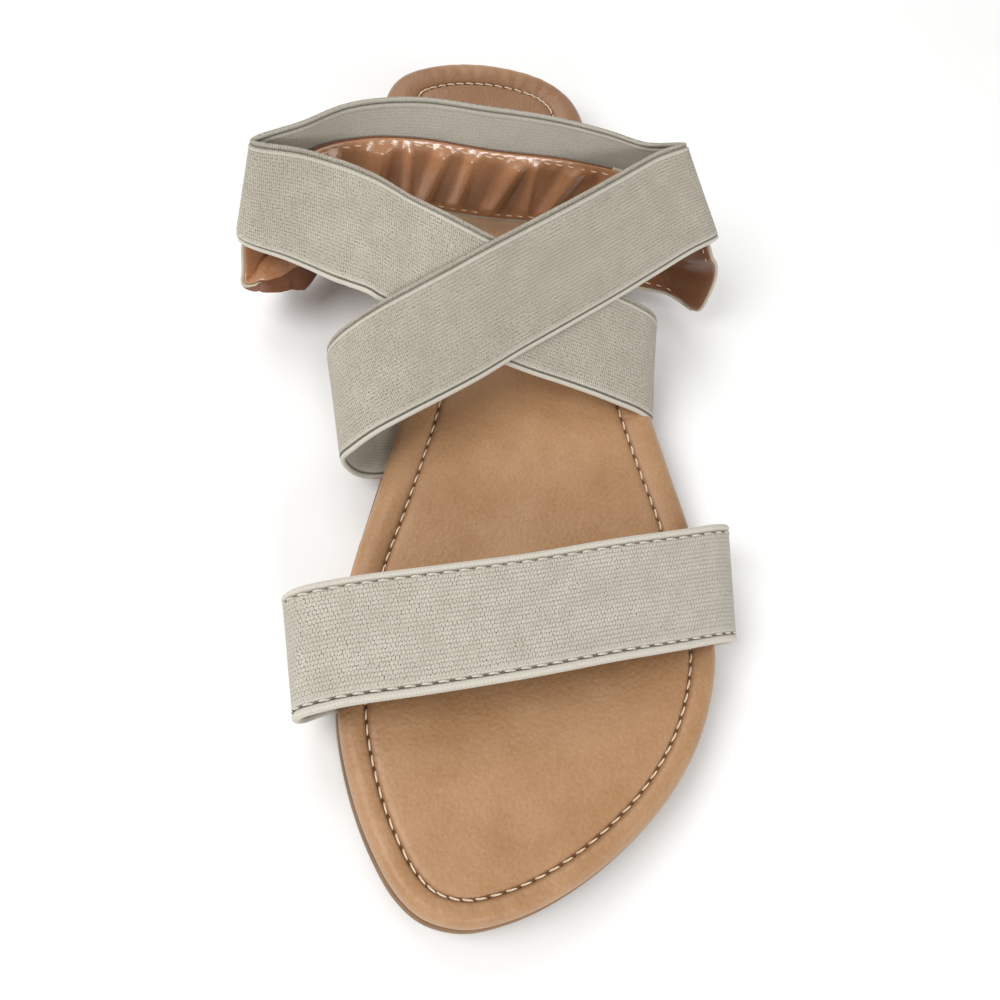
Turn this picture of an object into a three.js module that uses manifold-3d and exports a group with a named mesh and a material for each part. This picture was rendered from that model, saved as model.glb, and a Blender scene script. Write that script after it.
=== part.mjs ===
// A strappy flat sandal for a left foot, standing empty on its sole.
// Millimetres. The toe points to -Y, the heel to +Y, the little-toe side to +X and up is +Z.
import * as THREE from 'three';
import Module from 'manifold-3d';
import { mergeVertices } from 'three/addons/utils/BufferGeometryUtils.js';

const wasm = await Module();
wasm.setup();

// Driving sizes of the sole
const SOLE_LENGTH = 252;
const BALL_WIDTH = 88;
const OUTSOLE_THICKNESS = 6;
const TOE_SOLE_THICKNESS = 4.2;
const ARCH_RISE = 1.5;
const TOE_SPRING = 4.5;
const HEEL_BEVEL = 0.8;
const OUTSOLE_ROUND = 1;
const SOLE_REVEAL = 0.7;
const FOOTBED_THICKNESS = 6.2;
const HEEL_ROLL_WIDTH = 9.4;
const TOE_ROLL_WIDTH = 5.3;

// Driving sizes of the straps
const LOOP_HEIGHT = 50;
const ANKLE_STRAP_WIDTH = 28;
const ANKLE_STRAP_THICKNESS = 1.4;
const TOE_STRAP_HEIGHT = 30;
const TOE_STRAP_WIDTH = 28.8;
const TOE_STRAP_THICKNESS = 2;
const SLING_WIDTH = 20;
const SLING_THICKNESS = 1.8;

// How the pieces meet
const CLEARANCE = 0.3;
const CROSSING_BITE = 0.25;

// How near a strap comes to another one to be laid on it: wholly at full, not at all at none.
// The side is a share of the strap's width, the end and the depth are millimetres.
const LAY_SIDE = { full: 0.6, none: 1.2 };
const LAY_END = { full: 3, none: 9 };
const LAY_DEPTH = { full: 6, none: 12 };

// How finely the curves are cut
const OUTLINE_STEPS = 56;
const STEPS_PER_ROW = 4;

// The footbed's outline: along runs from heel to toe, the sides are shares of the ball width.
const HEEL_TIP = { along: 0, across: 0.01 };
const TOE_TIP = { along: 1, across: -0.02 };
const OUTLINE = [
  { along: 0.012, medial: -0.178, lateral: 0.206 },
  { along: 0.04, medial: -0.302, lateral: 0.306 },
  { along: 0.085, medial: -0.348, lateral: 0.354 },
  { along: 0.14, medial: -0.352, lateral: 0.37 },
  { along: 0.22, medial: -0.32, lateral: 0.384 },
  { along: 0.31, medial: -0.254, lateral: 0.418 },
  { along: 0.4, medial: -0.206, lateral: 0.465 },
  { along: 0.49, medial: -0.216, lateral: 0.516 },
  { along: 0.56, medial: -0.252, lateral: 0.563 },
  { along: 0.62, medial: -0.29, lateral: 0.606 },
  { along: 0.69, medial: -0.335, lateral: 0.64 },
  { along: 0.76, medial: -0.35, lateral: 0.65 },
  { along: 0.83, medial: -0.342, lateral: 0.595 },
  { along: 0.89, medial: -0.3, lateral: 0.49 },
  { along: 0.94, medial: -0.24, lateral: 0.346 },
  { along: 0.975, medial: -0.176, lateral: 0.2 },
  { along: 0.993, medial: -0.112, lateral: 0.082 },
];

// The sole from the side: its underside and the seam under the footbed.
const SIDE = [
  { along: 0, bottom: HEEL_BEVEL, seam: OUTSOLE_THICKNESS + 0.5 * HEEL_BEVEL },
  { along: 0.05, bottom: 0, seam: OUTSOLE_THICKNESS },
  { along: 0.27, bottom: 0, seam: OUTSOLE_THICKNESS },
  { along: 0.43, bottom: ARCH_RISE, seam: OUTSOLE_THICKNESS },
  { along: 0.59, bottom: 0, seam: 0.97 * OUTSOLE_THICKNESS },
  { along: 0.79, bottom: 0, seam: 0.95 * OUTSOLE_THICKNESS },
  { along: 0.9, bottom: 0.28 * TOE_SPRING, seam: 0.28 * TOE_SPRING + 0.86 * OUTSOLE_THICKNESS },
  { along: 1, bottom: TOE_SPRING, seam: TOE_SPRING + TOE_SOLE_THICKNESS },
];

// Edge sections from the underside to the top. The outsole's inset is a share of its edge round,
// the footbed's of its padded roll, which ends in the groove that the stitches lie in.
const OUTSOLE_EDGE = [
  { inset: 1, level: 0 },
  { inset: 0.2, level: 0.16 },
  { inset: 0, level: 0.4 },
  { inset: 0, level: 0.9 },
  { inset: 0.4, level: 1 },
];
const FOOTBED_EDGE = [
  { inset: 0.08, level: 0 },
  { inset: 0, level: 0.22 },
  { inset: 0, level: 0.48 },
  { inset: 0.08, level: 0.74 },
  { inset: 0.26, level: 0.93 },
  { inset: 0.52, level: 1 },
  { inset: 0.84, level: 0.95 },
  { inset: 1, level: 0.84 },
  { inset: 1.18, level: 0.93 },
  { inset: 1.55, level: 0.96 },
];

// A strap row: where its middle lies, and how the line across it points from its low edge
// (the front one, or the lower one at the back) to its high edge. up runs from the seam of the sole
// to the strap's height. turn is counted from the heel direction towards the little-toe side, lean
// above the level, both in degrees. cup is how deep the section is hollowed.
const ANKLE_STRAP_RISE = [
  { along: 0.515, across: -0.125, up: 0, turn: 8, lean: 0 },
  { along: 0.529, across: -0.253, up: 0, turn: 7, lean: 0 },
  { along: 0.532, across: -0.361, up: 0.068, turn: -6, lean: 5 },
  { along: 0.532, across: -0.412, up: 0.235, turn: -11, lean: 11 },
  { along: 0.533, across: -0.391, up: 0.4, turn: -16, lean: 18 },
  { along: 0.526, across: -0.34, up: 0.51, turn: -17, lean: 21 },
  { along: 0.51, across: -0.266, up: 0.562, turn: -22, lean: 23 },
  { along: 0.489, across: -0.175, up: 0.592, turn: -26, lean: 27 },
  { along: 0.468, across: -0.084, up: 0.625, turn: -31, lean: 33 },
  { along: 0.442, across: 0.019, up: 0.66, turn: -34, lean: 38 },
  { along: 0.412, across: 0.14, up: 0.693, turn: -39, lean: 39 },
  { along: 0.37, across: 0.303, up: 0.728, turn: -42, lean: 40 },
  { along: 0.338, across: 0.422, up: 0.756, turn: -41, lean: 41 },
  { along: 0.311, across: 0.524, up: 0.782, turn: -43, lean: 42 },
  { along: 0.294, across: 0.603, up: 0.795, turn: -50, lean: 46 },
  { along: 0.283, across: 0.61, up: 0.745, turn: -54, lean: 50 },
  { along: 0.277, across: 0.516, up: 0.721, turn: -68, lean: 50 },
  { along: 0.264, across: 0.379, up: 0.698, turn: -68, lean: 58 },
  { along: 0.257, across: 0.194, up: 0.681, turn: -55, lean: 66 },
  { along: 0.257, across: -0.024, up: 0.673, turn: -27, lean: 73 },
];
const ANKLE_STRAP_RETURN = [
  { along: 0.257, across: -0.024, up: 0.673, turn: -27, lean: 73 },
  { along: 0.258, across: -0.25, up: 0.674, turn: 0, lean: 73 },
  { along: 0.276, across: -0.456, up: 0.674, turn: 24, lean: 72 },
  { along: 0.307, across: -0.594, up: 0.672, turn: 38, lean: 72 },
  { along: 0.331, across: -0.708, up: 0.66, turn: 39, lean: 78 },
  { along: 0.343, across: -0.706, up: 0.676, turn: 24, lean: 70 },
  { along: 0.356, across: -0.558, up: 0.69, turn: 13, lean: 55 },
  { along: 0.377, across: -0.409, up: 0.705, turn: 11, lean: 42 },
  { along: 0.405, across: -0.273, up: 0.718, turn: 11, lean: 31 },
  { along: 0.429, across: -0.118, up: 0.678, turn: 11, lean: 19 },
  { along: 0.437, across: 0.041, up: 0.584, turn: 14, lean: 11 },
  { along: 0.44, across: 0.171, up: 0.484, turn: 16, lean: 10 },
  { along: 0.441, across: 0.29, up: 0.396, turn: 16, lean: 12 },
  { along: 0.444, across: 0.401, up: 0.318, turn: 11, lean: 14 },
  { along: 0.445, across: 0.484, up: 0.23, turn: 3, lean: 15 },
  { along: 0.444, across: 0.517, up: 0.113, turn: -1, lean: 10 },
  { along: 0.446, across: 0.475, up: 0, turn: -6, lean: 0 },
  { along: 0.448, across: 0.347, up: 0, turn: -6, lean: 0 },
];
const TOE_STRAP = [
  { along: 0.763, across: -0.222, up: 0.006, turn: 2, lean: 0 },
  { along: 0.766, across: -0.352, up: 0.006, turn: 0, lean: 0 },
  { along: 0.777, across: -0.439, up: 0.078, turn: -6, lean: 3 },
  { along: 0.785, across: -0.468, up: 0.345, turn: -10, lean: 1 },
  { along: 0.786, across: -0.445, up: 0.572, turn: -8, lean: 2 },
  { along: 0.779, across: -0.343, up: 0.692, turn: -2, lean: 3 },
  { along: 0.765, across: -0.114, up: 0.777, turn: 0, lean: 4 },
  { along: 0.748, across: 0.114, up: 0.795, turn: 0, lean: 3 },
  { along: 0.726, across: 0.341, up: 0.735, turn: 0, lean: 6 },
  { along: 0.707, across: 0.528, up: 0.611, turn: 0, lean: 9 },
  { along: 0.692, across: 0.651, up: 0.465, turn: -1, lean: 12 },
  { along: 0.684, across: 0.695, up: 0.278, turn: -3, lean: 12 },
  { along: 0.685, across: 0.614, up: 0, turn: -5, lean: 0 },
  { along: 0.685, across: 0.483, up: 0, turn: -6, lean: 0 },
];
const HEEL_SLING = [
  { along: 0.271, across: 0.284, up: 0, turn: -6, lean: 0, cup: 0 },
  { along: 0.27, across: 0.409, up: 0, turn: -6, lean: 0, cup: 0 },
  { along: 0.285, across: 0.571, up: 0.021, turn: -25, lean: -2, cup: 0.5 },
  { along: 0.314, across: 0.641, up: 0.035, turn: -35, lean: -9, cup: 1 },
  { along: 0.309, across: 0.656, up: 0.159, turn: -31, lean: -25, cup: 1 },
  { along: 0.302, across: 0.628, up: 0.322, turn: -36, lean: -44, cup: 0.5 },
  { along: 0.297, across: 0.568, up: 0.46, turn: -62, lean: -63, cup: 0 },
  { along: 0.29, across: 0.438, up: 0.543, turn: -103, lean: -72, cup: 0 },
  { along: 0.277, across: 0.225, up: 0.551, turn: -141, lean: -73, cup: 0 },
  { along: 0.269, across: 0, up: 0.534, turn: 180, lean: -75, cup: 0 },
  { along: 0.265, across: -0.228, up: 0.548, turn: 180, lean: -79, cup: 0 },
  { along: 0.28, across: -0.411, up: 0.568, turn: 180, lean: -79, cup: 0 },
  { along: 0.315, across: -0.578, up: 0.556, turn: 180, lean: -81, cup: 0 },
  { along: 0.333, across: -0.613, up: 0.278, turn: 64, lean: -78, cup: 0 },
  { along: 0.355, across: -0.668, up: 0.037, turn: 32, lean: -32, cup: 1.5 },
  { along: 0.358, across: -0.616, up: 0.114, turn: 22, lean: -30, cup: 4.5 },
  { along: 0.331, across: -0.522, up: 0.087, turn: 14, lean: -25, cup: 5 },
  { along: 0.301, across: -0.393, up: 0.037, turn: 9, lean: -13, cup: 2 },
  { along: 0.301, across: -0.239, up: 0, turn: -6, lean: 0, cup: 0 },
  { along: 0.301, across: -0.125, up: 0, turn: -6, lean: 0, cup: 0 },
];

// Stretches of the ankle strap, by row: the run that crosses on top, the row of the return from which
// it lies under that run, and the run round the back, from a row of the rise to one of the return.
const TOP_RUN = { from: 5, to: 14 };
const UNDER_RUN = { from: 6 };
const BACK_RUN = { from: 14, to: 4 };

// The section of a strap: side across its width, face through its thickness, both as shares.
const STRAP_SECTION = [
  { side: -0.5, face: 0 },
  { side: -0.485, face: 0.5 },
  { side: -0.2, face: 0.5 },
  { side: 0.2, face: 0.5 },
  { side: 0.485, face: 0.5 },
  { side: 0.5, face: 0 },
  { side: 0.485, face: -0.5 },
  { side: 0.2, face: -0.5 },
  { side: -0.2, face: -0.5 },
  { side: -0.485, face: -0.5 },
];

/** A smooth fade from 0 at start to 1 at end. */
function fade(value, start, end) {
  return THREE.MathUtils.smoothstep((value - start) / (end - start), 0, 1);
}

/** Reads a column of a table at any place along the sole, without overshooting its rows. */
function readTable(rows, column, along) {
  const at = THREE.MathUtils.clamp(along, rows[0].along, rows.at(-1).along);
  const last = rows.length - 2;
  const found = rows.findIndex((row) => row.along > at) - 1;
  const i = found < 0 ? last : found;
  const slope = (k) => (rows[k + 1][column] - rows[k][column]) / (rows[k + 1].along - rows[k].along);
  const soft = (a, b) => (a * b > 0 ? (2 * a * b) / (a + b) : 0);
  const here = slope(i);
  const before = i > 0 ? soft(slope(i - 1), here) : here;
  const after = i < last ? soft(here, slope(i + 1)) : here;
  const span = rows[i + 1].along - rows[i].along;
  const u = (at - rows[i].along) / span;
  const start = rows[i][column];
  const end = rows[i + 1][column];
  return (
    start * (1 + 2 * u) * (1 - u) ** 2 +
    span * before * u * (1 - u) ** 2 +
    end * u ** 2 * (3 - 2 * u) +
    span * after * u ** 2 * (u - 1)
  );
}

/** Turns a place given in shares of the sole into a point on the floor. */
function place(along, across) {
  return new THREE.Vector3(BALL_WIDTH * across, SOLE_LENGTH * (0.5 - along), 0);
}

/** The level of the sole's underside. */
function underside(along) {
  return readTable(SIDE, 'bottom', along);
}

/** The level of the outsole's top, where the straps go in under the footbed. */
function seam(along) {
  return readTable(SIDE, 'seam', along);
}

/** The width of the footbed's padded roll, which narrows from the waist to the toe. */
function rollWidth(along) {
  return THREE.MathUtils.lerp(HEEL_ROLL_WIDTH, TOE_ROLL_WIDTH, fade(along, 0.35, 1));
}

/** How far along the sole a point lies, as a share from the heel. */
function alongOf(point) {
  return 0.5 - point.y / SOLE_LENGTH;
}

/** Makes a solid from corners and triangles, facing outwards. */
function makeSolid(corners, triangles) {
  let volume = 0;
  for (const [a, b, c] of triangles) {
    volume += corners[a].dot(new THREE.Vector3().crossVectors(corners[b], corners[c]));
  }
  const ordered = volume < 0 ? triangles.map(([a, b, c]) => [a, c, b]) : triangles;
  const mesh = new wasm.Mesh({
    numProp: 3,
    vertProperties: new Float32Array(corners.flatMap((corner) => corner.toArray())),
    triVerts: new Uint32Array(ordered.flat()),
  });
  return new wasm.Manifold(mesh);
}

/** The footbed's outline as a closed ring: up the lateral side to the toe, down the medial one. */
function outlineRing() {
  const lateral = OUTLINE.map((row) => place(row.along, row.lateral));
  const medial = OUTLINE.map((row) => place(row.along, row.medial)).reverse();
  const heel = place(HEEL_TIP.along, HEEL_TIP.across);
  const toe = place(TOE_TIP.along, TOE_TIP.across);
  const curve = new THREE.CatmullRomCurve3([heel, ...lateral, toe, ...medial], true, 'centripetal');
  const count = 2 * OUTLINE_STEPS;
  return Array.from({ length: count }, (_, i) => curve.getPoint(i / count));
}

/** Moves a ring inwards in plan, or outwards where the inset is negative. */
function insetRing(ring, insetOf) {
  return ring.map((point, i) => {
    const next = ring[(i + 1) % ring.length];
    const previous = ring[(i - 1 + ring.length) % ring.length];
    const inward = new THREE.Vector3(next.y - previous.y, previous.x - next.x, 0).normalize();
    return point.clone().addScaledVector(inward, insetOf(alongOf(point)));
  });
}

/** A slab with the sole's outline: rings from its underside to its top, closed by strips across. */
function soleSlab(edge, edgeWidth, reveal, bottomOf, topOf) {
  const ring = outlineRing();
  const size = ring.length;
  const corners = [];
  for (const { inset, level } of edge) {
    for (const point of insetRing(ring, (along) => inset * edgeWidth(along) - reveal)) {
      const along = alongOf(point);
      point.z = THREE.MathUtils.lerp(bottomOf(along), topOf(along), level);
      corners.push(point);
    }
  }
  const triangles = [];
  for (let band = 0; band < edge.length - 1; band++) {
    for (let i = 0; i < size; i++) {
      const j = (i + 1) % size;
      const low = band * size;
      const high = low + size;
      triangles.push([low + i, low + j, high + j], [low + i, high + j, high + i]);
    }
  }
  const top = (edge.length - 1) * size;
  for (let i = 0; i < size / 2; i++) {
    const lateral = i;
    const nextLateral = i + 1;
    const medial = (size - i) % size;
    const nextMedial = size - i - 1;
    for (const [start, flip] of [[0, true], [top, false]]) {
      const quads = [[lateral, nextLateral, nextMedial], [lateral, nextMedial, medial]];
      for (const corner of quads) {
        const [a, b, c] = corner.map((index) => start + index);
        if (new Set([a, b, c]).size === 3) triangles.push(flip ? [a, c, b] : [a, b, c]);
      }
    }
  }
  return makeSolid(corners, triangles);
}

/** The two edges of a strap at each step, from its rows. */
function strapEdges(rows, width, height) {
  const ends = { low: [], high: [] };
  for (const { along, across, up, turn, lean } of rows) {
    const [yaw, pitch] = [turn, lean].map(THREE.MathUtils.degToRad);
    const reach = new THREE.Vector3(
      Math.sin(yaw) * Math.cos(pitch),
      Math.cos(yaw) * Math.cos(pitch),
      Math.sin(pitch),
    ).multiplyScalar(width / 2);
    const middle = place(along, across);
    middle.z = seam(along) + CLEARANCE / 2 + up * (height - OUTSOLE_THICKNESS);
    ends.low.push(middle.clone().sub(reach));
    ends.high.push(middle.clone().add(reach));
  }
  const low = new THREE.CatmullRomCurve3(ends.low, false, 'centripetal');
  const high = new THREE.CatmullRomCurve3(ends.high, false, 'centripetal');
  const count = (rows.length - 1) * STEPS_PER_ROW;
  return Array.from({ length: count + 1 }, (_, i) => ({
    low: low.getPoint(i / count),
    high: high.getPoint(i / count),
  }));
}

/** The frame of a strap at each step: its middle and the directions along, across and outwards. */
function strapSections(edges) {
  const middles = edges.map(({ low, high }) => low.clone().add(high).multiplyScalar(0.5));
  return edges.map(({ low, high }, i) => {
    const next = middles[Math.min(i + 1, middles.length - 1)];
    const previous = middles[Math.max(i - 1, 0)];
    const heading = next.clone().sub(previous).normalize();
    const across = high.clone().sub(low).normalize();
    const outward = new THREE.Vector3().crossVectors(heading, across).normalize();
    return { middle: middles[i], heading, across, outward };
  });
}

/** Lays a strap's edges at a given depth on the sections that they come near. */
function layOn(edges, base, width, depth) {
  const settle = (point) => {
    let nearest = null;
    for (const section of base) {
      const offset = point.clone().sub(section.middle);
      const side = offset.dot(section.across) / width;
      const inside = THREE.MathUtils.clamp(side, -0.5, 0.5) * width;
      const distance = offset.clone().addScaledVector(section.across, -inside).length();
      if (nearest === null || distance < nearest.distance) {
        nearest = { section, offset, side: Math.abs(side), distance };
      }
    }
    const { section, offset, side } = nearest;
    const miss = Math.abs(offset.dot(section.heading));
    const move = depth - offset.dot(section.outward);
    const loose = [
      fade(side, LAY_SIDE.full, LAY_SIDE.none),
      fade(miss, LAY_END.full, LAY_END.none),
      fade(Math.abs(move), LAY_DEPTH.full, LAY_DEPTH.none),
    ];
    const hold = 1 - Math.max(...loose);
    return point.clone().addScaledVector(section.outward, move * hold);
  };
  return edges.map(({ low, high }) => ({ low: settle(low), high: settle(high) }));
}

/** The cup column of a strap's rows, read at each step. */
function readCup(rows, count) {
  return Array.from({ length: count }, (_, i) => {
    const reading = (i / (count - 1)) * (rows.length - 1);
    const row = Math.min(Math.floor(reading), rows.length - 2);
    return THREE.MathUtils.lerp(rows[row].cup, rows[row + 1].cup, reading - row);
  });
}

/** A strap as a solid. margin makes it larger all round, as the slot that takes its end. */
function strapSolid(sections, width, thickness, { margin = 0, cups = [] }) {
  const corners = [];
  const size = STRAP_SECTION.length;
  sections.forEach(({ middle, heading, across, outward }, i) => {
    const end = i === 0 ? -1 : i === sections.length - 1 ? 1 : 0;
    for (const { side, face } of STRAP_SECTION) {
      const hollow = (cups[i] ?? 0) * (1 - (2 * side) ** 2);
      corners.push(
        middle
          .clone()
          .addScaledVector(heading, end * margin)
          .addScaledVector(across, side * (width + 2 * margin))
          .addScaledVector(outward, face * (thickness + 2 * margin) + hollow),
      );
    }
  });
  const triangles = [];
  for (let step = 0; step < sections.length - 1; step++) {
    for (let i = 0; i < size; i++) {
      const j = (i + 1) % size;
      const near = step * size;
      const far = near + size;
      triangles.push([near + i, far + i, far + j], [near + i, far + j, near + j]);
    }
  }
  const last = corners.length - size;
  for (let i = 1; i < size - 1; i++) {
    triangles.push([0, i, i + 1], [last, last + i + 1, last + i]);
  }
  return makeSolid(corners, triangles);
}

/** Cuts a stretch out of a strap's steps, from one row of its table to another. */
function stretch(steps, from, to) {
  return steps.slice(from * STEPS_PER_ROW, to * STEPS_PER_ROW);
}

// The ankle strap: up from the medial arch, round the back, and down under itself to the other side.
const riseEdges = strapEdges(ANKLE_STRAP_RISE, ANKLE_STRAP_WIDTH, LOOP_HEIGHT);
const looseReturn = strapEdges(ANKLE_STRAP_RETURN, ANKLE_STRAP_WIDTH, LOOP_HEIGHT);
const topRun = stretch(strapSections(riseEdges), TOP_RUN.from, TOP_RUN.to);
const underDepth = CROSSING_BITE - ANKLE_STRAP_THICKNESS;
const returnEdges = [
  ...looseReturn.slice(0, UNDER_RUN.from * STEPS_PER_ROW),
  ...layOn(looseReturn.slice(UNDER_RUN.from * STEPS_PER_ROW), topRun, ANKLE_STRAP_WIDTH, underDepth),
];
const ankleSections = strapSections([...riseEdges, ...returnEdges.slice(1)]);
const meeting = riseEdges.length - 1;

/** The ankle strap: its rise and its return, joined at the back and where they cross. */
function ankleStrap(margin = 0) {
  const runs = [ankleSections.slice(0, meeting + 1), ankleSections.slice(meeting)];
  const [rise, descent] = runs.map((sections) =>
    strapSolid(sections, ANKLE_STRAP_WIDTH, ANKLE_STRAP_THICKNESS, { margin }),
  );
  return rise.add(descent);
}

const toeSections = strapSections(strapEdges(TOE_STRAP, TOE_STRAP_WIDTH, TOE_STRAP_HEIGHT));

/** The toe strap. */
function toeStrap(margin = 0) {
  return strapSolid(toeSections, TOE_STRAP_WIDTH, TOE_STRAP_THICKNESS, { margin });
}

// The heel sling: out from the waist, up and round the back inside the ankle strap.
const backRun = [
  ...ankleSections.slice(BACK_RUN.from * STEPS_PER_ROW, meeting),
  ...ankleSections.slice(meeting, meeting + BACK_RUN.to * STEPS_PER_ROW),
];
const slingDepth = -(ANKLE_STRAP_THICKNESS / 2 + CLEARANCE + SLING_THICKNESS / 2);
const looseSling = strapEdges(HEEL_SLING, SLING_WIDTH, LOOP_HEIGHT);
const slingSections = strapSections(layOn(looseSling, backRun, ANKLE_STRAP_WIDTH, slingDepth));
const slingCups = readCup(HEEL_SLING, slingSections.length);

/** The heel sling. */
function heelSling(margin = 0) {
  return strapSolid(slingSections, SLING_WIDTH, SLING_THICKNESS, { margin, cups: slingCups });
}

/** The sole's two slabs, with a slot for each strap's end. */
function soleParts() {
  const slots = ankleStrap(CLEARANCE).add(toeStrap(CLEARANCE)).add(heelSling(CLEARANCE));
  const footbedBottom = (along) => seam(along) + CLEARANCE;
  const footbedTop = (along) => footbedBottom(along) + FOOTBED_THICKNESS;
  const slabs = [
    soleSlab(OUTSOLE_EDGE, () => OUTSOLE_ROUND, SOLE_REVEAL, underside, seam),
    soleSlab(FOOTBED_EDGE, rollWidth, 0, footbedBottom, footbedTop),
  ];
  return slabs.map((slab) => slab.subtract(slots));
}

/** Turns a solid into a named mesh with its own material. */
function makeMesh(name, solid, color, roughness) {
  const { vertProperties, triVerts } = solid.getMesh();
  const loose = new THREE.BufferGeometry();
  loose.setAttribute('position', new THREE.BufferAttribute(vertProperties, 3));
  loose.setIndex(new THREE.BufferAttribute(triVerts, 1));
  const geometry = mergeVertices(loose, 1e-4);
  geometry.computeVertexNormals();
  const material = new THREE.MeshStandardMaterial({ color, roughness, metalness: 0 });
  const mesh = new THREE.Mesh(geometry, material);
  mesh.name = name;
  return mesh;
}

const [outsole, footbed] = soleParts();
const pieces = new THREE.Group();
pieces.add(
  makeMesh('outsole', outsole, '#8a6648', 0.8),
  makeMesh('footbed', footbed, '#b08764', 0.45),
  makeMesh('toe_strap', toeStrap(), '#c0b9ae', 0.9),
  makeMesh('ankle_strap', ankleStrap(), '#b3aca0', 0.9),
  makeMesh('heel_sling', heelSling(), '#a8784f', 0.35),
);

// The origin lies on the floor under the middle of the whole sandal.
const box = new THREE.Box3().setFromObject(pieces);
const centre = box.getCenter(new THREE.Vector3());
pieces.position.set(-centre.x, -centre.y, -box.min.z);

const sandal = new THREE.Group();
sandal.add(pieces);

export default sandal;
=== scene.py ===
"""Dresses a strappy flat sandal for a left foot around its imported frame.

Sizes are millimetres in the tables and metres in the meshes. The toe points to -Y, the heel to +Y,
the little-toe side to +X and up is +Z.
"""
import logging
import math
from dataclasses import dataclass, field
from enum import Enum

import bpy
import numpy as np
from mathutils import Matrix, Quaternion, Vector


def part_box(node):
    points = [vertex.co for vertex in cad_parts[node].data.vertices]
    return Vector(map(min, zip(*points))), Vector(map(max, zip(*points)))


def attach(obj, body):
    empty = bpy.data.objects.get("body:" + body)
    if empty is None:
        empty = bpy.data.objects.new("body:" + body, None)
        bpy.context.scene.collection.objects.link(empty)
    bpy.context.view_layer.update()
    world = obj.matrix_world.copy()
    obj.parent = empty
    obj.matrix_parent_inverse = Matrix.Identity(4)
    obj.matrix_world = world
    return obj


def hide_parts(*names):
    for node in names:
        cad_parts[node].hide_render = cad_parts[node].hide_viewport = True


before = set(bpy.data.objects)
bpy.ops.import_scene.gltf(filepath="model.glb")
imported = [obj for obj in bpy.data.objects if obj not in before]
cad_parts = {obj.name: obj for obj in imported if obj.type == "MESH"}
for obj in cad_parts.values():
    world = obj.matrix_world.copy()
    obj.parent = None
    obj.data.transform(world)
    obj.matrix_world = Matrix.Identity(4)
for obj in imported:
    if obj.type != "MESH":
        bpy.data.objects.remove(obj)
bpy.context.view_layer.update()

LOG = logging.getLogger("sandal")
Array = np.ndarray
Socket = bpy.types.NodeSocket
Piece = bpy.types.Object
Marks = dict[str, Array]
MM = 0.001
BODY = "root"

# Driving sizes of the sole
SOLE_LENGTH = 252.0
BALL_WIDTH = 88.0
OUTSOLE_THICKNESS = 6.0
TOE_SOLE_THICKNESS = 4.2
ARCH_RISE = 1.5
TOE_SPRING = 4.5
HEEL_BEVEL = 0.8
FOOTBED_THICKNESS = 6.2
HEEL_ROLL_WIDTH = 9.4
TOE_ROLL_WIDTH = 5.3

# How the pieces meet
CLEARANCE = 0.3
CROSSING_BITE = 0.25
LAY_SIDE = (0.6, 1.2)
LAY_END = (3.0, 9.0)
LAY_DEPTH = (6.0, 12.0)

# The footbed's outline: along from heel to toe, medial and lateral as shares of the ball width.
HEEL_TIP = (0.0, 0.01)
TOE_TIP = (1.0, -0.02)
OUTLINE = (
    (0.012, -0.178, 0.206),
    (0.04, -0.302, 0.306),
    (0.085, -0.348, 0.354),
    (0.14, -0.352, 0.37),
    (0.22, -0.32, 0.384),
    (0.31, -0.254, 0.418),
    (0.4, -0.206, 0.465),
    (0.49, -0.216, 0.516),
    (0.56, -0.252, 0.563),
    (0.62, -0.29, 0.606),
    (0.69, -0.335, 0.64),
    (0.76, -0.35, 0.65),
    (0.83, -0.342, 0.595),
    (0.89, -0.3, 0.49),
    (0.94, -0.24, 0.346),
    (0.975, -0.176, 0.2),
    (0.993, -0.112, 0.082),
)

# The sole from the side: along, the level of its underside, the level of the seam.
SIDE = (
    (0.0, HEEL_BEVEL, OUTSOLE_THICKNESS + 0.5 * HEEL_BEVEL),
    (0.05, 0.0, OUTSOLE_THICKNESS),
    (0.27, 0.0, OUTSOLE_THICKNESS),
    (0.43, ARCH_RISE, OUTSOLE_THICKNESS),
    (0.59, 0.0, 0.97 * OUTSOLE_THICKNESS),
    (0.79, 0.0, 0.95 * OUTSOLE_THICKNESS),
    (0.9, 0.28 * TOE_SPRING, 0.28 * TOE_SPRING + 0.86 * OUTSOLE_THICKNESS),
    (1.0, TOE_SPRING, TOE_SPRING + TOE_SOLE_THICKNESS),
)

# Strap rows: along, across, up, turn, lean; the heel sling's rows end with the depth of the cup.
ANKLE_RISE = (
    (0.515, -0.125, 0, 8, 0),
    (0.529, -0.253, 0, 7, 0),
    (0.532, -0.361, 0.068, -6, 5),
    (0.532, -0.412, 0.235, -11, 11),
    (0.533, -0.391, 0.4, -16, 18),
    (0.526, -0.34, 0.51, -17, 21),
    (0.51, -0.266, 0.562, -22, 23),
    (0.489, -0.175, 0.592, -26, 27),
    (0.468, -0.084, 0.625, -31, 33),
    (0.442, 0.019, 0.66, -34, 38),
    (0.412, 0.14, 0.693, -39, 39),
    (0.37, 0.303, 0.728, -42, 40),
    (0.338, 0.422, 0.756, -41, 41),
    (0.311, 0.524, 0.782, -43, 42),
    (0.294, 0.603, 0.795, -50, 46),
    (0.283, 0.61, 0.745, -54, 50),
    (0.277, 0.516, 0.721, -68, 50),
    (0.264, 0.379, 0.698, -68, 58),
    (0.257, 0.194, 0.681, -55, 66),
    (0.257, -0.024, 0.673, -27, 73),
)
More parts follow.
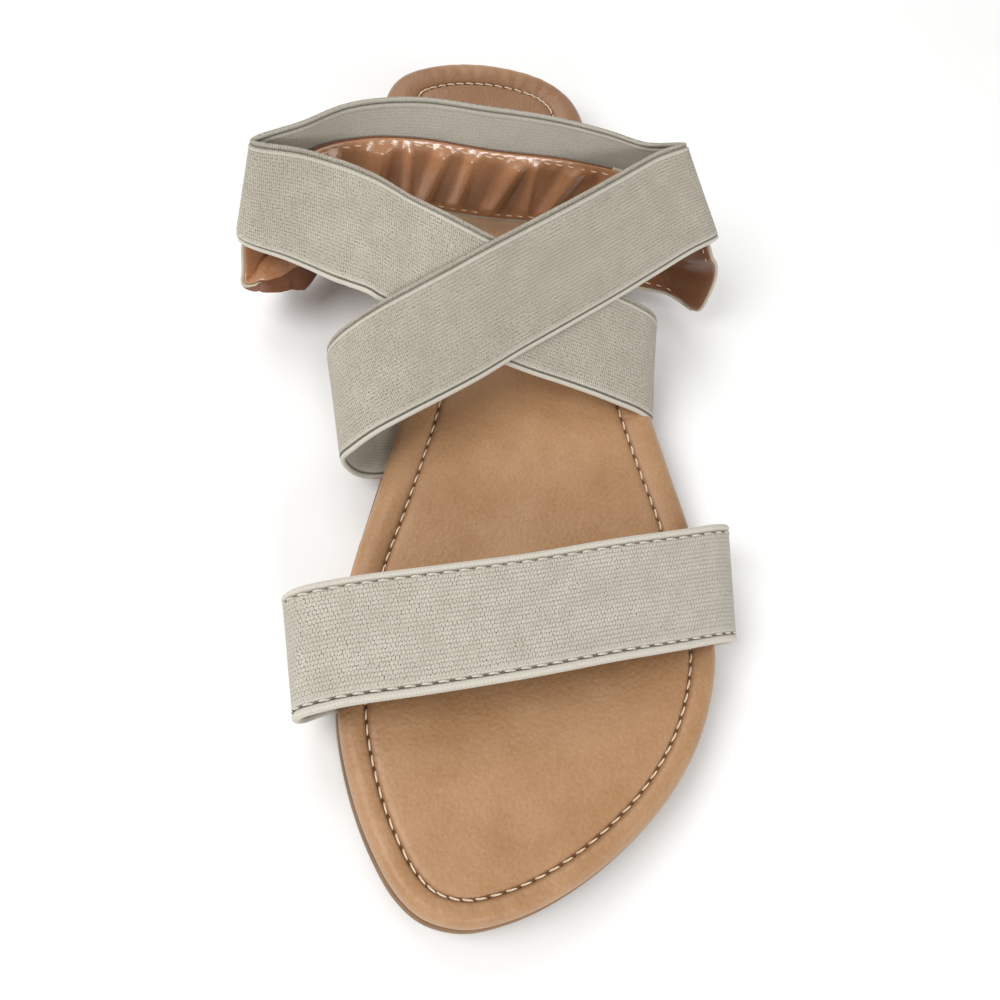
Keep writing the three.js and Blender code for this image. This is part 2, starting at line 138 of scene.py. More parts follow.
ANKLE_RETURN = (
    (0.257, -0.024, 0.673, -27, 73),
    (0.258, -0.25, 0.674, 0, 73),
    (0.276, -0.456, 0.674, 24, 72),
    (0.307, -0.594, 0.672, 38, 72),
    (0.331, -0.708, 0.66, 39, 78),
    (0.343, -0.706, 0.676, 24, 70),
    (0.356, -0.558, 0.69, 13, 55),
    (0.377, -0.409, 0.705, 11, 42),
    (0.405, -0.273, 0.718, 11, 31),
    (0.429, -0.118, 0.678, 11, 19),
    (0.437, 0.041, 0.584, 14, 11),
    (0.44, 0.171, 0.484, 16, 10),
    (0.441, 0.29, 0.396, 16, 12),
    (0.444, 0.401, 0.318, 11, 14),
    (0.445, 0.484, 0.23, 3, 15),
    (0.444, 0.517, 0.113, -1, 10),
    (0.446, 0.475, 0, -6, 0),
    (0.448, 0.347, 0, -6, 0),
)
TOE_ROWS = (
    (0.763, -0.222, 0.006, 2, 0),
    (0.766, -0.352, 0.006, 0, 0),
    (0.777, -0.439, 0.078, -6, 3),
    (0.785, -0.468, 0.345, -10, 1),
    (0.786, -0.445, 0.572, -8, 2),
    (0.779, -0.343, 0.692, -2, 3),
    (0.765, -0.114, 0.777, 0, 4),
    (0.748, 0.114, 0.795, 0, 3),
    (0.726, 0.341, 0.735, 0, 6),
    (0.707, 0.528, 0.611, 0, 9),
    (0.692, 0.651, 0.465, -1, 12),
    (0.684, 0.695, 0.278, -3, 12),
    (0.685, 0.614, 0, -5, 0),
    (0.685, 0.483, 0, -6, 0),
)
SLING_ROWS = (
    (0.271, 0.284, 0, -6, 0, 0),
    (0.27, 0.409, 0, -6, 0, 0),
    (0.285, 0.571, 0.021, -25, -2, 0.5),
    (0.314, 0.641, 0.035, -35, -9, 1),
    (0.309, 0.656, 0.159, -31, -25, 1),
    (0.302, 0.628, 0.322, -36, -44, 0.5),
    (0.297, 0.568, 0.46, -62, -63, 0),
    (0.29, 0.438, 0.543, -103, -72, 0),
    (0.277, 0.225, 0.551, -141, -73, 0),
    (0.269, 0, 0.534, 180, -75, 0),
    (0.265, -0.228, 0.548, 180, -79, 0),
    (0.28, -0.411, 0.568, 180, -79, 0),
    (0.315, -0.578, 0.556, 180, -81, 0),
    (0.333, -0.613, 0.278, 64, -78, 0),
    (0.355, -0.668, 0.037, 32, -32, 1.5),
    (0.358, -0.616, 0.114, 22, -30, 4.5),
    (0.331, -0.522, 0.087, 14, -25, 5),
    (0.301, -0.393, 0.037, 9, -13, 2),
    (0.301, -0.239, 0, -6, 0, 0),
    (0.301, -0.125, 0, -6, 0, 0),
)

# Stretches by row: the run that crosses on top, the start of the run beneath it, the run round the back.
TOP_RUN = (5, 14)
UNDER_RUN_START = 6
BACK_RUN = (14, 4)
STEPS_PER_ROW = 16

# Gathers of the sling's lining: share of the run, slant, width and height in millimetres
GATHERS = (
    (0.335, 7.0, 2.4, 1.0),
    (0.375, 6.0, 2.8, 1.4),
    (0.408, -1.0, 1.8, 0.6),
    (0.436, 8.0, 2.6, 1.7),
    (0.480, 4.0, 2.2, 1.2),
    (0.513, 6.0, 2.8, 1.5),
    (0.541, 0.0, 1.8, 0.8),
    (0.575, 4.0, 4.4, 1.5),
    (0.622, -2.0, 3.2, 1.0),
    (0.655, 2.0, 3.0, 0.8),
)


def fade(value: Array, start: float, end: float) -> Array:
    """A smooth fade from 0 at start to 1 at end."""
    share = np.clip((np.asarray(value, float) - start) / (end - start), 0, 1)
    return share * share * (3 - 2 * share)


def read_table(rows: tuple, column: int, along: Array) -> Array:
    """Reads a column of a table at places along the sole, without overshooting its rows.

    Args:
        rows: The table, whose first column is the place along the sole.
        column: The column to read.
        along: The places, as shares from the heel.

    Returns:
        The readings.
    """
    table = np.array(rows, float)
    places, values = table[:, 0], table[:, column]
    at = np.clip(along, places[0], places[-1])
    span = np.diff(places)
    slope = np.diff(values) / span
    i = np.clip(np.searchsorted(places, at, side="right") - 1, 0, len(span) - 1)
    product = slope[:-1] * slope[1:]
    total = np.where(slope[:-1] + slope[1:] == 0, 1, slope[:-1] + slope[1:])
    soft = np.where(product > 0, 2 * product / total, 0)
    before = np.concatenate([slope[:1], soft])[i]
    after = np.concatenate([soft, slope[-1:]])[i]
    u = (at - places[i]) / span[i]
    return (
        values[i] * (1 + 2 * u) * (1 - u) ** 2
        + span[i] * before * u * (1 - u) ** 2
        + values[i + 1] * u**2 * (3 - 2 * u)
        + span[i] * after * u**2 * (u - 1)
    )


def underside(along: Array) -> Array:
    """The level of the sole's underside."""
    return read_table(SIDE, 1, along)


def seam(along: Array) -> Array:
    """The level of the outsole's top, where the straps go in under the footbed."""
    return read_table(SIDE, 2, along)


def roll_width(along: Array) -> Array:
    """The width of the footbed's padded roll, which narrows from the waist to the toe."""
    return HEEL_ROLL_WIDTH + (TOE_ROLL_WIDTH - HEEL_ROLL_WIDTH) * fade(along, 0.35, 1)


def along_of(points: Array) -> Array:
    """How far along the sole points lie, as shares from the heel."""
    return 0.5 - points[..., 1] / SOLE_LENGTH


def unit(vectors: Array) -> Array:
    """Vectors brought to a length of one."""
    return vectors / np.linalg.norm(vectors, axis=-1, keepdims=True)


def smooth_curve(knots: Array, shares: Array, closed: bool = False) -> Array:
    """Reads a centripetal Catmull-Rom curve.

    Args:
        knots: The points that the curve goes through.
        shares: The places on the curve, from 0 to 1.
        closed: Whether the curve comes back to its first point.

    Returns:
        The points on the curve.
    """
    count = len(knots)
    if closed:
        padded = np.concatenate([knots[-1:], knots, knots[:2]])
    else:
        padded = np.concatenate([2 * knots[:1] - knots[1:2], knots, 2 * knots[-1:] - knots[-2:-1]])
    runs = count if closed else count - 1
    place = np.asarray(shares) * runs
    i = np.clip(np.floor(place).astype(int), 0, runs - 1)
    u = (place - i)[:, None]
    p0, p1, p2, p3 = (padded[i + k] for k in range(4))
    gap = [np.sqrt(np.linalg.norm(b - a, axis=1, keepdims=True)) for a, b in ((p0, p1), (p1, p2), (p2, p3))]
    middle = np.where(gap[1] < 1e-4, 1, gap[1])
    before = np.where(gap[0] < 1e-4, middle, gap[0])
    after = np.where(gap[2] < 1e-4, middle, gap[2])
    t1 = ((p1 - p0) / before - (p2 - p0) / (before + middle) + (p2 - p1) / middle) * middle
    t2 = ((p2 - p1) / middle - (p3 - p1) / (middle + after) + (p3 - p2) / after) * middle
    return p1 + t1 * u + (3 * (p2 - p1) - 2 * t1 - t2) * u**2 + (2 * (p1 - p2) + t1 + t2) * u**3


def run_lengths(points: Array) -> Array:
    """The length run from the first point to each point of a line."""
    return np.concatenate([[0], np.cumsum(np.linalg.norm(np.diff(points, axis=0), axis=1))])


def read_line(at: Array, lengths: Array, rows: Array) -> Array:
    """Reads rows of three values at lengths run along a line."""
    return np.stack([np.interp(at, lengths, rows[:, k]) for k in range(3)], axis=1)


def back_to_start(points: Array) -> Array:
    """A ring of points with the first one again after the last."""
    return np.concatenate([points, points[:1]])


@dataclass
class Course:
    """A strap's run: its two edges at each step, and the directions that follow from them."""

    low: Array
    high: Array

    @property
    def middle(self) -> Array:
        """The middle of each step."""
        return (self.low + self.high) / 2

    @property
    def heading(self) -> Array:
        """The direction along the strap."""
        middle = self.middle
        ahead = np.concatenate([middle[1:], middle[-1:]])
        behind = np.concatenate([middle[:1], middle[:-1]])
        return unit(ahead - behind)

    @property
    def across(self) -> Array:
        """The direction from the low edge to the high edge."""
        return unit(self.high - self.low)

    @property
    def outward(self) -> Array:
        """The direction out of the strap's outer face."""
        return unit(np.cross(self.heading, self.across))

    @property
    def lengths(self) -> Array:
        """The length run from the start to each step."""
        return run_lengths(self.middle)

    def cut(self, start: int, stop: int | None = None) -> "Course":
        """The stretch between two steps."""
        return Course(self.low[start:stop], self.high[start:stop])

    def then(self, other: "Course") -> "Course":
        """This run with another one after it."""
        return Course(np.concatenate([self.low, other.low]), np.concatenate([self.high, other.high]))

    def laid_on(self, base: "Course", width: float, depth: float) -> "Course":
        """Lays this run on another strap where it comes near it.

        Args:
            base: The run that it is laid on.
            width: The width of the strap that it is laid on.
            depth: How far out of the base's middle it lies.

        Returns:
            The laid run.
        """
        middle, across, outward, heading = base.middle, base.across, base.outward, base.heading

        def settle(points: Array) -> Array:
            """Moves points to their depth on the base, less the further they are from it."""
            offset = points[:, None] - middle[None]
            side = np.einsum("ijk,jk->ij", offset, across) / width
            inside = np.clip(side, -0.5, 0.5) * width
            distance = np.linalg.norm(offset - inside[..., None] * across[None], axis=2)
            near = distance.argmin(axis=1)
            rows = np.arange(len(points))
            offset = offset[rows, near]
            move = depth - np.einsum("ij,ij->i", offset, outward[near])
            miss = np.abs(np.einsum("ij,ij->i", offset, heading[near]))
            loose = np.maximum.reduce([
                fade(np.abs(side[rows, near]), *LAY_SIDE),
                fade(miss, *LAY_END),
                fade(np.abs(move), *LAY_DEPTH),
            ])
            return points + outward[near] * (move * (1 - loose))[:, None]

        return Course(settle(self.low), settle(self.high))

    def evened(self, spacing: float) -> "Course":
        """The same run with its steps a given distance apart."""
        lengths = self.lengths
        stations = np.linspace(0, lengths[-1], int(round(lengths[-1] / spacing)) + 1)
        return Course(read_line(stations, lengths, self.low), read_line(stations, lengths, self.high))

    def points(self, side: Array, face: Array) -> Array:
        """Points at millimetres across and out of the run, for each step.

        Args:
            side: Distances from the middle line, one row or a row for each step.
            face: Distances out of the middle surface, of the same form.

        Returns:
            An array of steps by columns by three.
        """
        side, face = np.atleast_2d(side), np.atleast_2d(face)
        return (
            self.middle[:, None]
            + self.across[:, None] * side[..., None]
            + self.outward[:, None] * face[..., None]
        )


def strap_course(rows: tuple, width: float, height: float) -> Course:
    """The run of a strap from its rows.

    Args:
        rows: Along, across, up, turn and lean of each row.
        width: The strap's width.
        height: The height over the seam that a row's up counts to.

    Returns:
        The run.
    """
    table = np.array([row[:5] for row in rows], float)
    along, across, up = table[:, 0], table[:, 1], table[:, 2]
    yaw, pitch = np.radians(table[:, 3]), np.radians(table[:, 4])
    reach = np.stack([np.sin(yaw) * np.cos(pitch), np.cos(yaw) * np.cos(pitch), np.sin(pitch)], axis=1)
    level = seam(along) + CLEARANCE / 2 + up * (height - OUTSOLE_THICKNESS)
    middle = np.stack([BALL_WIDTH * across, SOLE_LENGTH * (0.5 - along), level], axis=1)
    shares = np.linspace(0, 1, (len(rows) - 1) * STEPS_PER_ROW + 1)
    return Course(
        smooth_curve(middle - reach * width / 2, shares),
        smooth_curve(middle + reach * width / 2, shares),
    )


def outline_ring(count: int) -> Array:
    """The footbed's outline at even steps: up the lateral side to the toe, down the medial one."""
    spots = [HEEL_TIP, *((row[0], row[2]) for row in OUTLINE), TOE_TIP]
    spots += [(row[0], row[1]) for row in reversed(OUTLINE)]
    knots = np.array([(BALL_WIDTH * across, SOLE_LENGTH * (0.5 - along), 0) for along, across in spots])
    dense = smooth_curve(knots, np.linspace(0, 1, 6001), closed=True)
    lengths = run_lengths(dense)
    return read_line(np.linspace(0, lengths[-1], count, endpoint=False), lengths, dense)


def inset_ring(ring: Array, inset: Array) -> Array:
    """Moves a ring inwards in plan, or outwards where the inset is negative."""
    tangent = unit(np.roll(ring, -1, axis=0) - np.roll(ring, 1, axis=0))
    inward = np.stack([tangent[:, 1], -tangent[:, 0], np.zeros(len(ring))], axis=1)
    return ring + inward * np.broadcast_to(inset, len(ring))[:, None]


def coons_patch(ring: Array, short: int) -> Array:
    """Spans a closed ring, whose first point is the heel's, with a grid of points.

    Args:
        ring: The ring's points.
        short: How many steps of it make the heel's side of the grid, and the toe's.

    Returns:
        The grid, from the heel to the toe by from the medial to the lateral side.
    """
    long = len(ring) // 2 - short
    start = -(short // 2)

    def at(first: int, steps: int) -> Array:
        """The ring's points from one of them onwards."""
        return ring[np.arange(first, first + steps + 1) % len(ring)]

    heel = at(start, short)
    lateral = at(start + short, long)
    toe = at(start + short + long, short)[::-1]
    medial = at(start + 2 * short + long, long)[::-1]
    u = np.linspace(0, 1, short + 1)[None, :, None]
    v = np.linspace(0, 1, long + 1)[:, None, None]
    sides = (1 - u) * medial[:, None] + u * lateral[:, None]
    ends = (1 - v) * heel[None] + v * toe[None]
    corners = (1 - v) * ((1 - u) * heel[0] + u * heel[-1]) + v * ((1 - u) * toe[0] + u * toe[-1])
    return sides + ends - corners


FRAME_SHIFT = Vector((
    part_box("footbed")[0].x / MM - outline_ring(720)[:, 0].min(),
    (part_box("outsole")[0].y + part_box("outsole")[1].y) / 2 / MM,
    0,
))


def to_frame(points: Array) -> Array:
    """Turns millimetres from the tables into metres in the frame."""
    return (np.asarray(points) + np.array(FRAME_SHIFT)) * MM


def select_only(*pieces: Piece) -> None:
    """Selects pieces and nothing else, the first of them active."""
    bpy.ops.object.select_all(action="DESELECT")
    for piece in pieces:
        piece.select_set(True)
    bpy.context.view_layer.objects.active = pieces[0]


def read_points(mesh: bpy.types.Mesh) -> Array:
    """The places of a mesh's points."""
    flat = np.zeros(len(mesh.vertices) * 3, np.float32)
    mesh.vertices.foreach_get("co", flat)
    return flat.reshape(-1, 3)


def write_mark(mesh: bpy.types.Mesh, label: str, values: Array) -> None:
    """Names a value at each point of a mesh, for its finish to read."""
    layer = mesh.attributes.new(label, "FLOAT", "POINT")
    layer.data.foreach_set("value", np.asarray(values, np.float32))


def grid_piece(name: str, points: Array, u: Array, v: Array, marks: Marks | None = None) -> Piece:
    """Shapes a grid primitive to rows of points.

    Args:
        name: The piece's name.
        points: Rows by columns by three, in the tables' millimetres.
        u: The UV place of each column, in millimetres.
        v: The UV place of each row, in millimetres.
        marks: Named values of each point, that its finish reads.

    Returns:
        The piece.
    """
    rows, columns = points.shape[:2]
    bpy.ops.object.select_all(action="DESELECT")
    bpy.ops.mesh.primitive_grid_add(x_subdivisions=columns - 1, y_subdivisions=rows - 1, size=1)
    piece = bpy.context.active_object
    piece.name = piece.data.name = name
    flat = read_points(piece.data)
    column = np.rint((flat[:, 0] + 0.5) * (columns - 1)).astype(int)
    row = np.rint((flat[:, 1] + 0.5) * (rows - 1)).astype(int)
    piece.data.vertices.foreach_set("co", to_frame(points[row, column]).astype(np.float32).ravel())
    corner = np.zeros(len(piece.data.loops), np.int32)
    piece.data.loops.foreach_get("vertex_index", corner)
    uv = np.stack([np.asarray(u)[column[corner]], np.asarray(v)[row[corner]]], axis=1)
    piece.data.uv_layers[0].data.foreach_set("uv", uv.astype(np.float32).ravel())
    for label, values in (marks or {}).items():
        write_mark(piece.data, label, np.asarray(values, np.float32)[row, column])
    piece.data.update()
    return piece


def wrap_piece(name: str, points: Array, u: Array, v: Array, marks: Marks | None = None) -> Piece:
    """Shapes a grid primitive to a closed section that runs along a course.

    Args:
        name: The piece's name.
        points: Steps by section points by three, in the tables' millimetres.
        u: The UV place of each section point and of the first one again, in millimetres.
        v: The UV place of each step, in millimetres.
        marks: Named values of each point, that its finish reads.

    Returns:
        The piece, closed round its section and at its ends.
    """
    closed = np.concatenate([points, points[:, :1]], axis=1)
    full = {}
    for label, values in (marks or {}).items():
        spread = np.broadcast_to(values, points.shape[:2])
        full[label] = np.concatenate([spread, spread[:, :1]], axis=1)
    piece = grid_piece(name, closed, u, v, full)
    close_piece(piece, capped=True)
    return piece


def close_piece(piece: Piece, capped: bool) -> None:
    """Merges a piece's seams, fills its holes if told to, and turns its faces outwards."""
    select_only(piece)
    bpy.ops.object.mode_set(mode="EDIT")
    bpy.ops.mesh.select_all(action="SELECT")
    bpy.ops.mesh.remove_doubles(threshold=1e-6)
    if capped:
        bpy.ops.mesh.fill_holes(sides=0)
    bpy.ops.mesh.select_all(action="SELECT")
    bpy.ops.mesh.normals_make_consistent(inside=False)
    bpy.ops.object.mode_set(mode="OBJECT")
    bpy.ops.object.shade_smooth()


def join_pieces(name: str, parts: list[Piece]) -> Piece:
    """Joins pieces into the first one and names it."""
    select_only(*parts)
    if len(parts) > 1:
        bpy.ops.object.join()
    parts[0].name = parts[0].data.name = name
    return parts[0]


@dataclass
class Spots:
    """Where copies of a small thing go: the origin and the three directions of each."""

    origin: Array
    side: Array
    ahead: Array
    up: Array


def scatter(name: str, seed: Piece, spots: Spots) -> Piece:
    """Copies a seed to every spot, as one joined mesh with the seed's UV map, and deletes the seed.

    Args:
        name: The new piece's name.
        seed: The small thing, in metres round the origin.
        spots: Where the copies go.

    Returns:
        The joined piece.
    """
    mesh = seed.data
    size = len(mesh.vertices)
    uv = np.zeros(len(mesh.loops) * 2, np.float32)
    mesh.uv_layers[0].data.foreach_get("uv", uv)
    frames = np.stack([spots.side, spots.ahead, spots.up], axis=1)
    places = np.einsum("vk,nkj->nvj", read_points(mesh), frames) + to_frame(spots.origin)[:, None]
    faces = [tuple(face.vertices) for face in mesh.polygons]
    count = len(spots.origin)
    joined = bpy.data.meshes.new(name)
    repeated = [tuple(i + size * k for i in face) for k in range(count) for face in faces]
    joined.from_pydata(places.reshape(-1, 3).tolist(), [], repeated)
    joined.uv_layers.new(name="UVMap").data.foreach_set("uv", np.tile(uv, count))
    piece = bpy.data.objects.new(name, joined)
    bpy.context.collection.objects.link(piece)
    bpy.data.objects.remove(seed)
    select_only(piece)
    bpy.ops.object.shade_smooth()
    return piece


def stitch_seed(length: float, thickness: float, slant: float) -> Piece:
    """One stitch of thread: a bead drawn long, whose ends dive into their holes.

    Args:
        length: From hole to hole, in millimetres.
        thickness: The thread's, in millimetres.
        slant: How far its ends lie off the line to either side, in millimetres.

    Returns:
        The stitch, along Y.
    """
    bpy.ops.object.select_all(action="DESELECT")
    quarter = (math.pi / 2, 0, 0)
    bpy.ops.mesh.primitive_uv_sphere_add(segments=10, ring_count=9, radius=0.5, rotation=quarter)
    seed = bpy.context.active_object
    bpy.ops.object.transform_apply(location=False, rotation=True, scale=False)
    for vertex in seed.data.vertices:
        share = 2 * vertex.co.y
        girth = 1
        if abs(share) < 0.999:
            girth = (1 - abs(share) ** 3.2) ** 0.5 / max((1 - share * share) ** 0.5, 1e-3)
        vertex.co.x = (vertex.co.x * thickness * girth + slant * share) * MM
        vertex.co.z = (vertex.co.z * thickness * girth - 0.55 * thickness * share**4) * MM
        vertex.co.y *= length * MM
    return seed


def hole_seed(length: float, width: float) -> Piece:
    """One needle hole: a shallow dark dimple, pulled long by the thread, whose dark colour is painted
    shade.
    """
    bpy.ops.object.select_all(action="DESELECT")
    bpy.ops.mesh.primitive_uv_sphere_add(segments=12, ring_count=6, radius=0.5 * MM)
    seed = bpy.context.active_object
    for vertex in seed.data.vertices:
        vertex.co.x *= width
        vertex.co.y *= length
        vertex.co.z *= 0.35
    return seed


class Space(Enum):
    """What a texture's coordinates follow."""

    OBJECT = "Object"
    UV = "UV"


def linear(code: str) -> tuple[float, float, float, float]:
    """Turns an sRGB hex value into a linear colour."""
    parts = [int(code[i : i + 2], 16) / 255 for i in (1, 3, 5)]
    red, green, blue = (c / 12.92 if c <= 0.04045 else ((c + 0.055) / 1.055) ** 2.4 for c in parts)
    return red, green, blue, 1.0


def add(tree: bpy.types.NodeTree, kind: str, settings: dict,
        links: dict[str | int, Socket]) -> bpy.types.Node:
    """Adds a shader node.

    Args:
        tree: The material's node tree.
        kind: The node's type, without its first words.
        settings: Its properties and its sockets' values; stops are a ramp's places and colours.
        links: The sockets that its own sockets take their values from.

    Returns:
        The node.
    """
    node = tree.nodes.new("ShaderNode" + kind)
    for key, value in settings.items():
        if key == "stops":
            elements = node.color_ramp.elements
            while len(elements) < len(value):
                elements.new(0.5)
            for element, (place, code) in zip(elements, value):
                element.position = place
                element.color = linear(code)
        elif isinstance(key, str) and hasattr(node, key):
            setattr(node, key, value)
        else:
            node.inputs[key].default_value = value
    for key, socket in links.items():
        tree.links.new(socket, node.inputs[key])
    return node


@dataclass
class Paint:
    """A material under way: its tree, its shader and short ways to the nodes that finishes share."""

    material: bpy.types.Material
    tree: bpy.types.NodeTree
    shader: bpy.types.Node

    @classmethod
    def begin(cls, name: str, sockets: dict[str, object]) -> "Paint":
        """Starts a material with its shader's own socket values."""
        material = bpy.data.materials.new(name)
        material.use_nodes = True
        tree = material.node_tree
        tree.nodes.clear()
        shader = add(tree, "BsdfPrincipled", sockets, {})
        add(tree, "OutputMaterial", {}, {"Surface": shader.outputs[0]})
        return cls(material, tree, shader)

    def place(self, space: Space) -> Socket:
        """A texture coordinate."""
        return add(self.tree, "TexCoord", {}, {}).outputs[space.value]

    def mark(self, label: str) -> Socket:
        """A value named on the piece's points, 0 where it has none."""
        return add(self.tree, "Attribute", {"attribute_name": label}, {}).outputs["Fac"]

    def noise(self, where: Socket, size: float, detail: float = 3.0, roughness: float = 0.55) -> Socket:
        """Noise whose grains are about one unit of size across, for coordinates where 1 is a unit."""
        settings = {"Scale": 1 / size, "Detail": detail, "Roughness": roughness}
        return add(self.tree, "TexNoise", settings, {"Vector": where}).outputs[0]

    def math(self, kind: str, first: Socket | float, second: Socket | float = 0.0) -> Socket:
        """A sum of two sockets or numbers."""
        node = add(self.tree, "Math", {"operation": kind}, {})
        for index, value in enumerate((first, second)):
            if isinstance(value, Socket):
                self.tree.links.new(value, node.inputs[index])
            else:
                node.inputs[index].default_value = value
        return node.outputs[0]

    def weigh(self, first: Socket, share: float, second: Socket, rest: float) -> Socket:
        """Two values added by their weights."""
        return self.math("ADD", self.math("MULTIPLY", first, share), self.math("MULTIPLY", second, rest))

    def ramp(self, value: Socket, stops: tuple) -> Socket:
        """A colour ramp read at a value."""
        return add(self.tree, "ValToRGB", {"stops": stops}, {0: value}).outputs[0]

    def spread(self, value: Socket, low: float, high: float, to_low: float, to_high: float) -> Socket:
        """A value mapped from one range to another, held at its ends."""
        node = add(self.tree, "MapRange", {1: low, 2: high, 3: to_low, 4: to_high}, {0: value})
        return node.outputs[0]

    def blend(self, factor: Socket, first: Socket | str, second: Socket | str) -> Socket:
        """Mixes two colours, each a socket or a hex value."""
        node = add(self.tree, "Mix", {"data_type": "RGBA"}, {0: factor})
        for index, value in ((6, first), (7, second)):
            if isinstance(value, Socket):
                self.tree.links.new(value, node.inputs[index])
            else:
                node.inputs[index].default_value = linear(value)
        return node.outputs[2]

    def bump(self, height: Socket, depth: float, under: Socket | None = None) -> Socket:
        """A bump of a depth in millimetres, on top of another one if given."""
        links = {"Height": height}
        if under is not None:
            links["Normal"] = under
        return add(self.tree, "Bump", {"Strength": 1.0, "Distance": depth * MM}, links).outputs[0]

    def wear(self, piece: Piece) -> None:
        """Puts the material on a piece as its only one."""
        piece.data.materials.clear()
        piece.data.materials.append(self.material)

    def connect(self, **sockets: Socket) -> None:
        """Links sockets to the shader, underscores for spaces in its socket names."""
        for name, socket in sockets.items():
            self.tree.links.new(socket, self.shader.inputs[name.replace("_", " ")])


@dataclass(frozen=True)
class CoatedLeather:
    """Polyurethane coated leather: a soft pebbled film with a satin gloss."""

    title: str
    light: str
    deep: str
    # groove: the colour of the painted shade, where the piece marks it
    groove: str
    roughness: float
    coat: float
    coat_roughness: float = 0.34
    pebble: float = 1.0
    relief: float = 0.07
    wrinkle: float = 0.0

    def make(self) -> Paint:
        """Builds the material. Where the piece marks painted shade on its points, the colour goes towards
        the groove colour.
        """
        paint = Paint.begin(self.title, {
            "IOR": 1.47,
            "Coat Weight": self.coat,
            "Coat Roughness": self.coat_roughness,
            "Sheen Weight": 0.05,
        })
        where = paint.place(Space.OBJECT)
        settings = {"feature": "SMOOTH_F1", "Scale": 1 / (self.pebble * MM), "Smoothness": 0.7}
        cells = add(paint.tree, "TexVoronoi", settings, {"Vector": where}).outputs[0]
        fine = paint.noise(where, 0.8 * MM, 4.0)
        cloud = paint.noise(where, 15 * MM, 3.0)
        tone = paint.ramp(paint.weigh(fine, 0.4, cloud, 0.6), ((0.38, self.deep), (0.62, self.light)))
        normal = paint.bump(paint.weigh(cells, -1.0, fine, 0.6), self.relief)
        if self.wrinkle:
            folds = paint.noise(where, 3.4 * MM, 2.0, 0.4)
            normal = paint.bump(folds, self.wrinkle, normal)
        paint.connect(
            Base_Color=paint.blend(paint.mark("crease"), tone, self.groove),
            Roughness=paint.spread(fine, 0.3, 0.7, self.roughness - 0.05, self.roughness + 0.06),
            Normal=normal,
        )
        return paint


@dataclass(frozen=True)
class WovenElastic:
    """Woven elastic: matt cords of yarn along the band, bound by fine picks that step from cord to cord.

    Rib, pick and speckle are millimetres, relief is the bump's depth, stagger the picks' step as a share of
    their pitch, and evenness how much the weave shows over the fibre's own unevenness.
    """

    title: str
    light: str
    deep: str
    # gap is also the colour of painted shade; cord is the pale cords' colour, also used for painted
    # highlight and painted light
    gap: str
    cord: str
    rib: float
    pick: float
    stagger: float
    relief: float = 0.14
    speckle: float = 0.55
    evenness: float = 0.2

    def arch(self, paint: Paint, place: Socket) -> Socket:
        """A row of rounded yarns: 1 on each crown and 0 in the line between two."""
        part = paint.math("FRACT", place)
        rest = paint.math("SUBTRACT", 1.0, part)
        return paint.math("MULTIPLY", paint.math("MULTIPLY", part, rest), 4.0)

    def make(self, start: float) -> Paint:
        """Builds the material.

        Args:
            start: How far inside the edge the first rib starts. U runs round the section and V along it.

        Returns:
            The material.
        """
        paint = Paint.begin(self.title, {
            "Roughness": 0.88,
            "IOR": 1.45,
            "Sheen Weight": 0.18,
            "Sheen Roughness": 0.5,
            "Specular IOR Level": 0.25,
        })
        uv = paint.place(Space.UV)
        split = add(paint.tree, "SeparateXYZ", {}, {0: uv})
        stray = paint.noise(uv, 2.6, 3.0)
        across = paint.math("DIVIDE", paint.math("SUBTRACT", split.outputs[0], start), self.rib)
        bent = paint.math("ADD", across, paint.math("MULTIPLY", stray, 0.3))
        step = paint.math("MULTIPLY", paint.math("FLOOR", bent), self.stagger)
        along = paint.math("ADD", paint.math("DIVIDE", split.outputs[1], self.pick), step)
        ribs = self.arch(paint, bent)
        picks = self.arch(paint, paint.math("ADD", along, paint.math("MULTIPLY", stray, 1.6)))
        fibre = paint.noise(uv, self.speckle, 3.0, 0.7)
        patch = paint.noise(uv, 7.0, 3.0, 0.6)
        weave = paint.weigh(ribs, 0.7 * self.evenness, picks, 1.3 * self.evenness)
        height = paint.math("ADD", weave, fibre)
        level = 0.5 + 0.8 * self.evenness
        stops = ((level - 0.17, self.gap), (level - 0.01, self.deep), (level + 0.11, self.light))
        dull = paint.spread(patch, 0.35, 0.65, 0.0, 0.3)
        uneven = paint.blend(dull, paint.ramp(height, stops), self.deep)
        # The cord mark paints the pale cords, a painted highlight on the second rib and painted light on
        # the inner face; the painted shade mark darkens gutters and edges towards the gap colour
        edged = paint.blend(paint.math("MULTIPLY", paint.mark("cord"), 0.75), uneven, self.cord)
        paint.connect(
            Base_Color=paint.blend(paint.math("MULTIPLY", paint.mark("crease"), 0.85), edged, self.gap),
            Normal=paint.bump(height, self.relief),
        )
        return paint


@dataclass(frozen=True)
class Thread:
    """Waxed polyester thread: a satin twist."""

    title: str
    light: str
    deep: str

    def make(self) -> Paint:
        """Builds the material, with the twist on the stitch's own UV map."""
        paint = Paint.begin(self.title, {"Roughness": 0.5, "IOR": 1.5, "Sheen Weight": 0.2})
        settings = {"bands_direction": "DIAGONAL", "Scale": 1.2}
        twist = add(paint.tree, "TexWave", settings, {"Vector": paint.place(Space.UV)}).outputs["Fac"]
        paint.connect(Base_Color=paint.blend(twist, self.deep, self.light), Normal=paint.bump(twist, 0.08))
        return paint


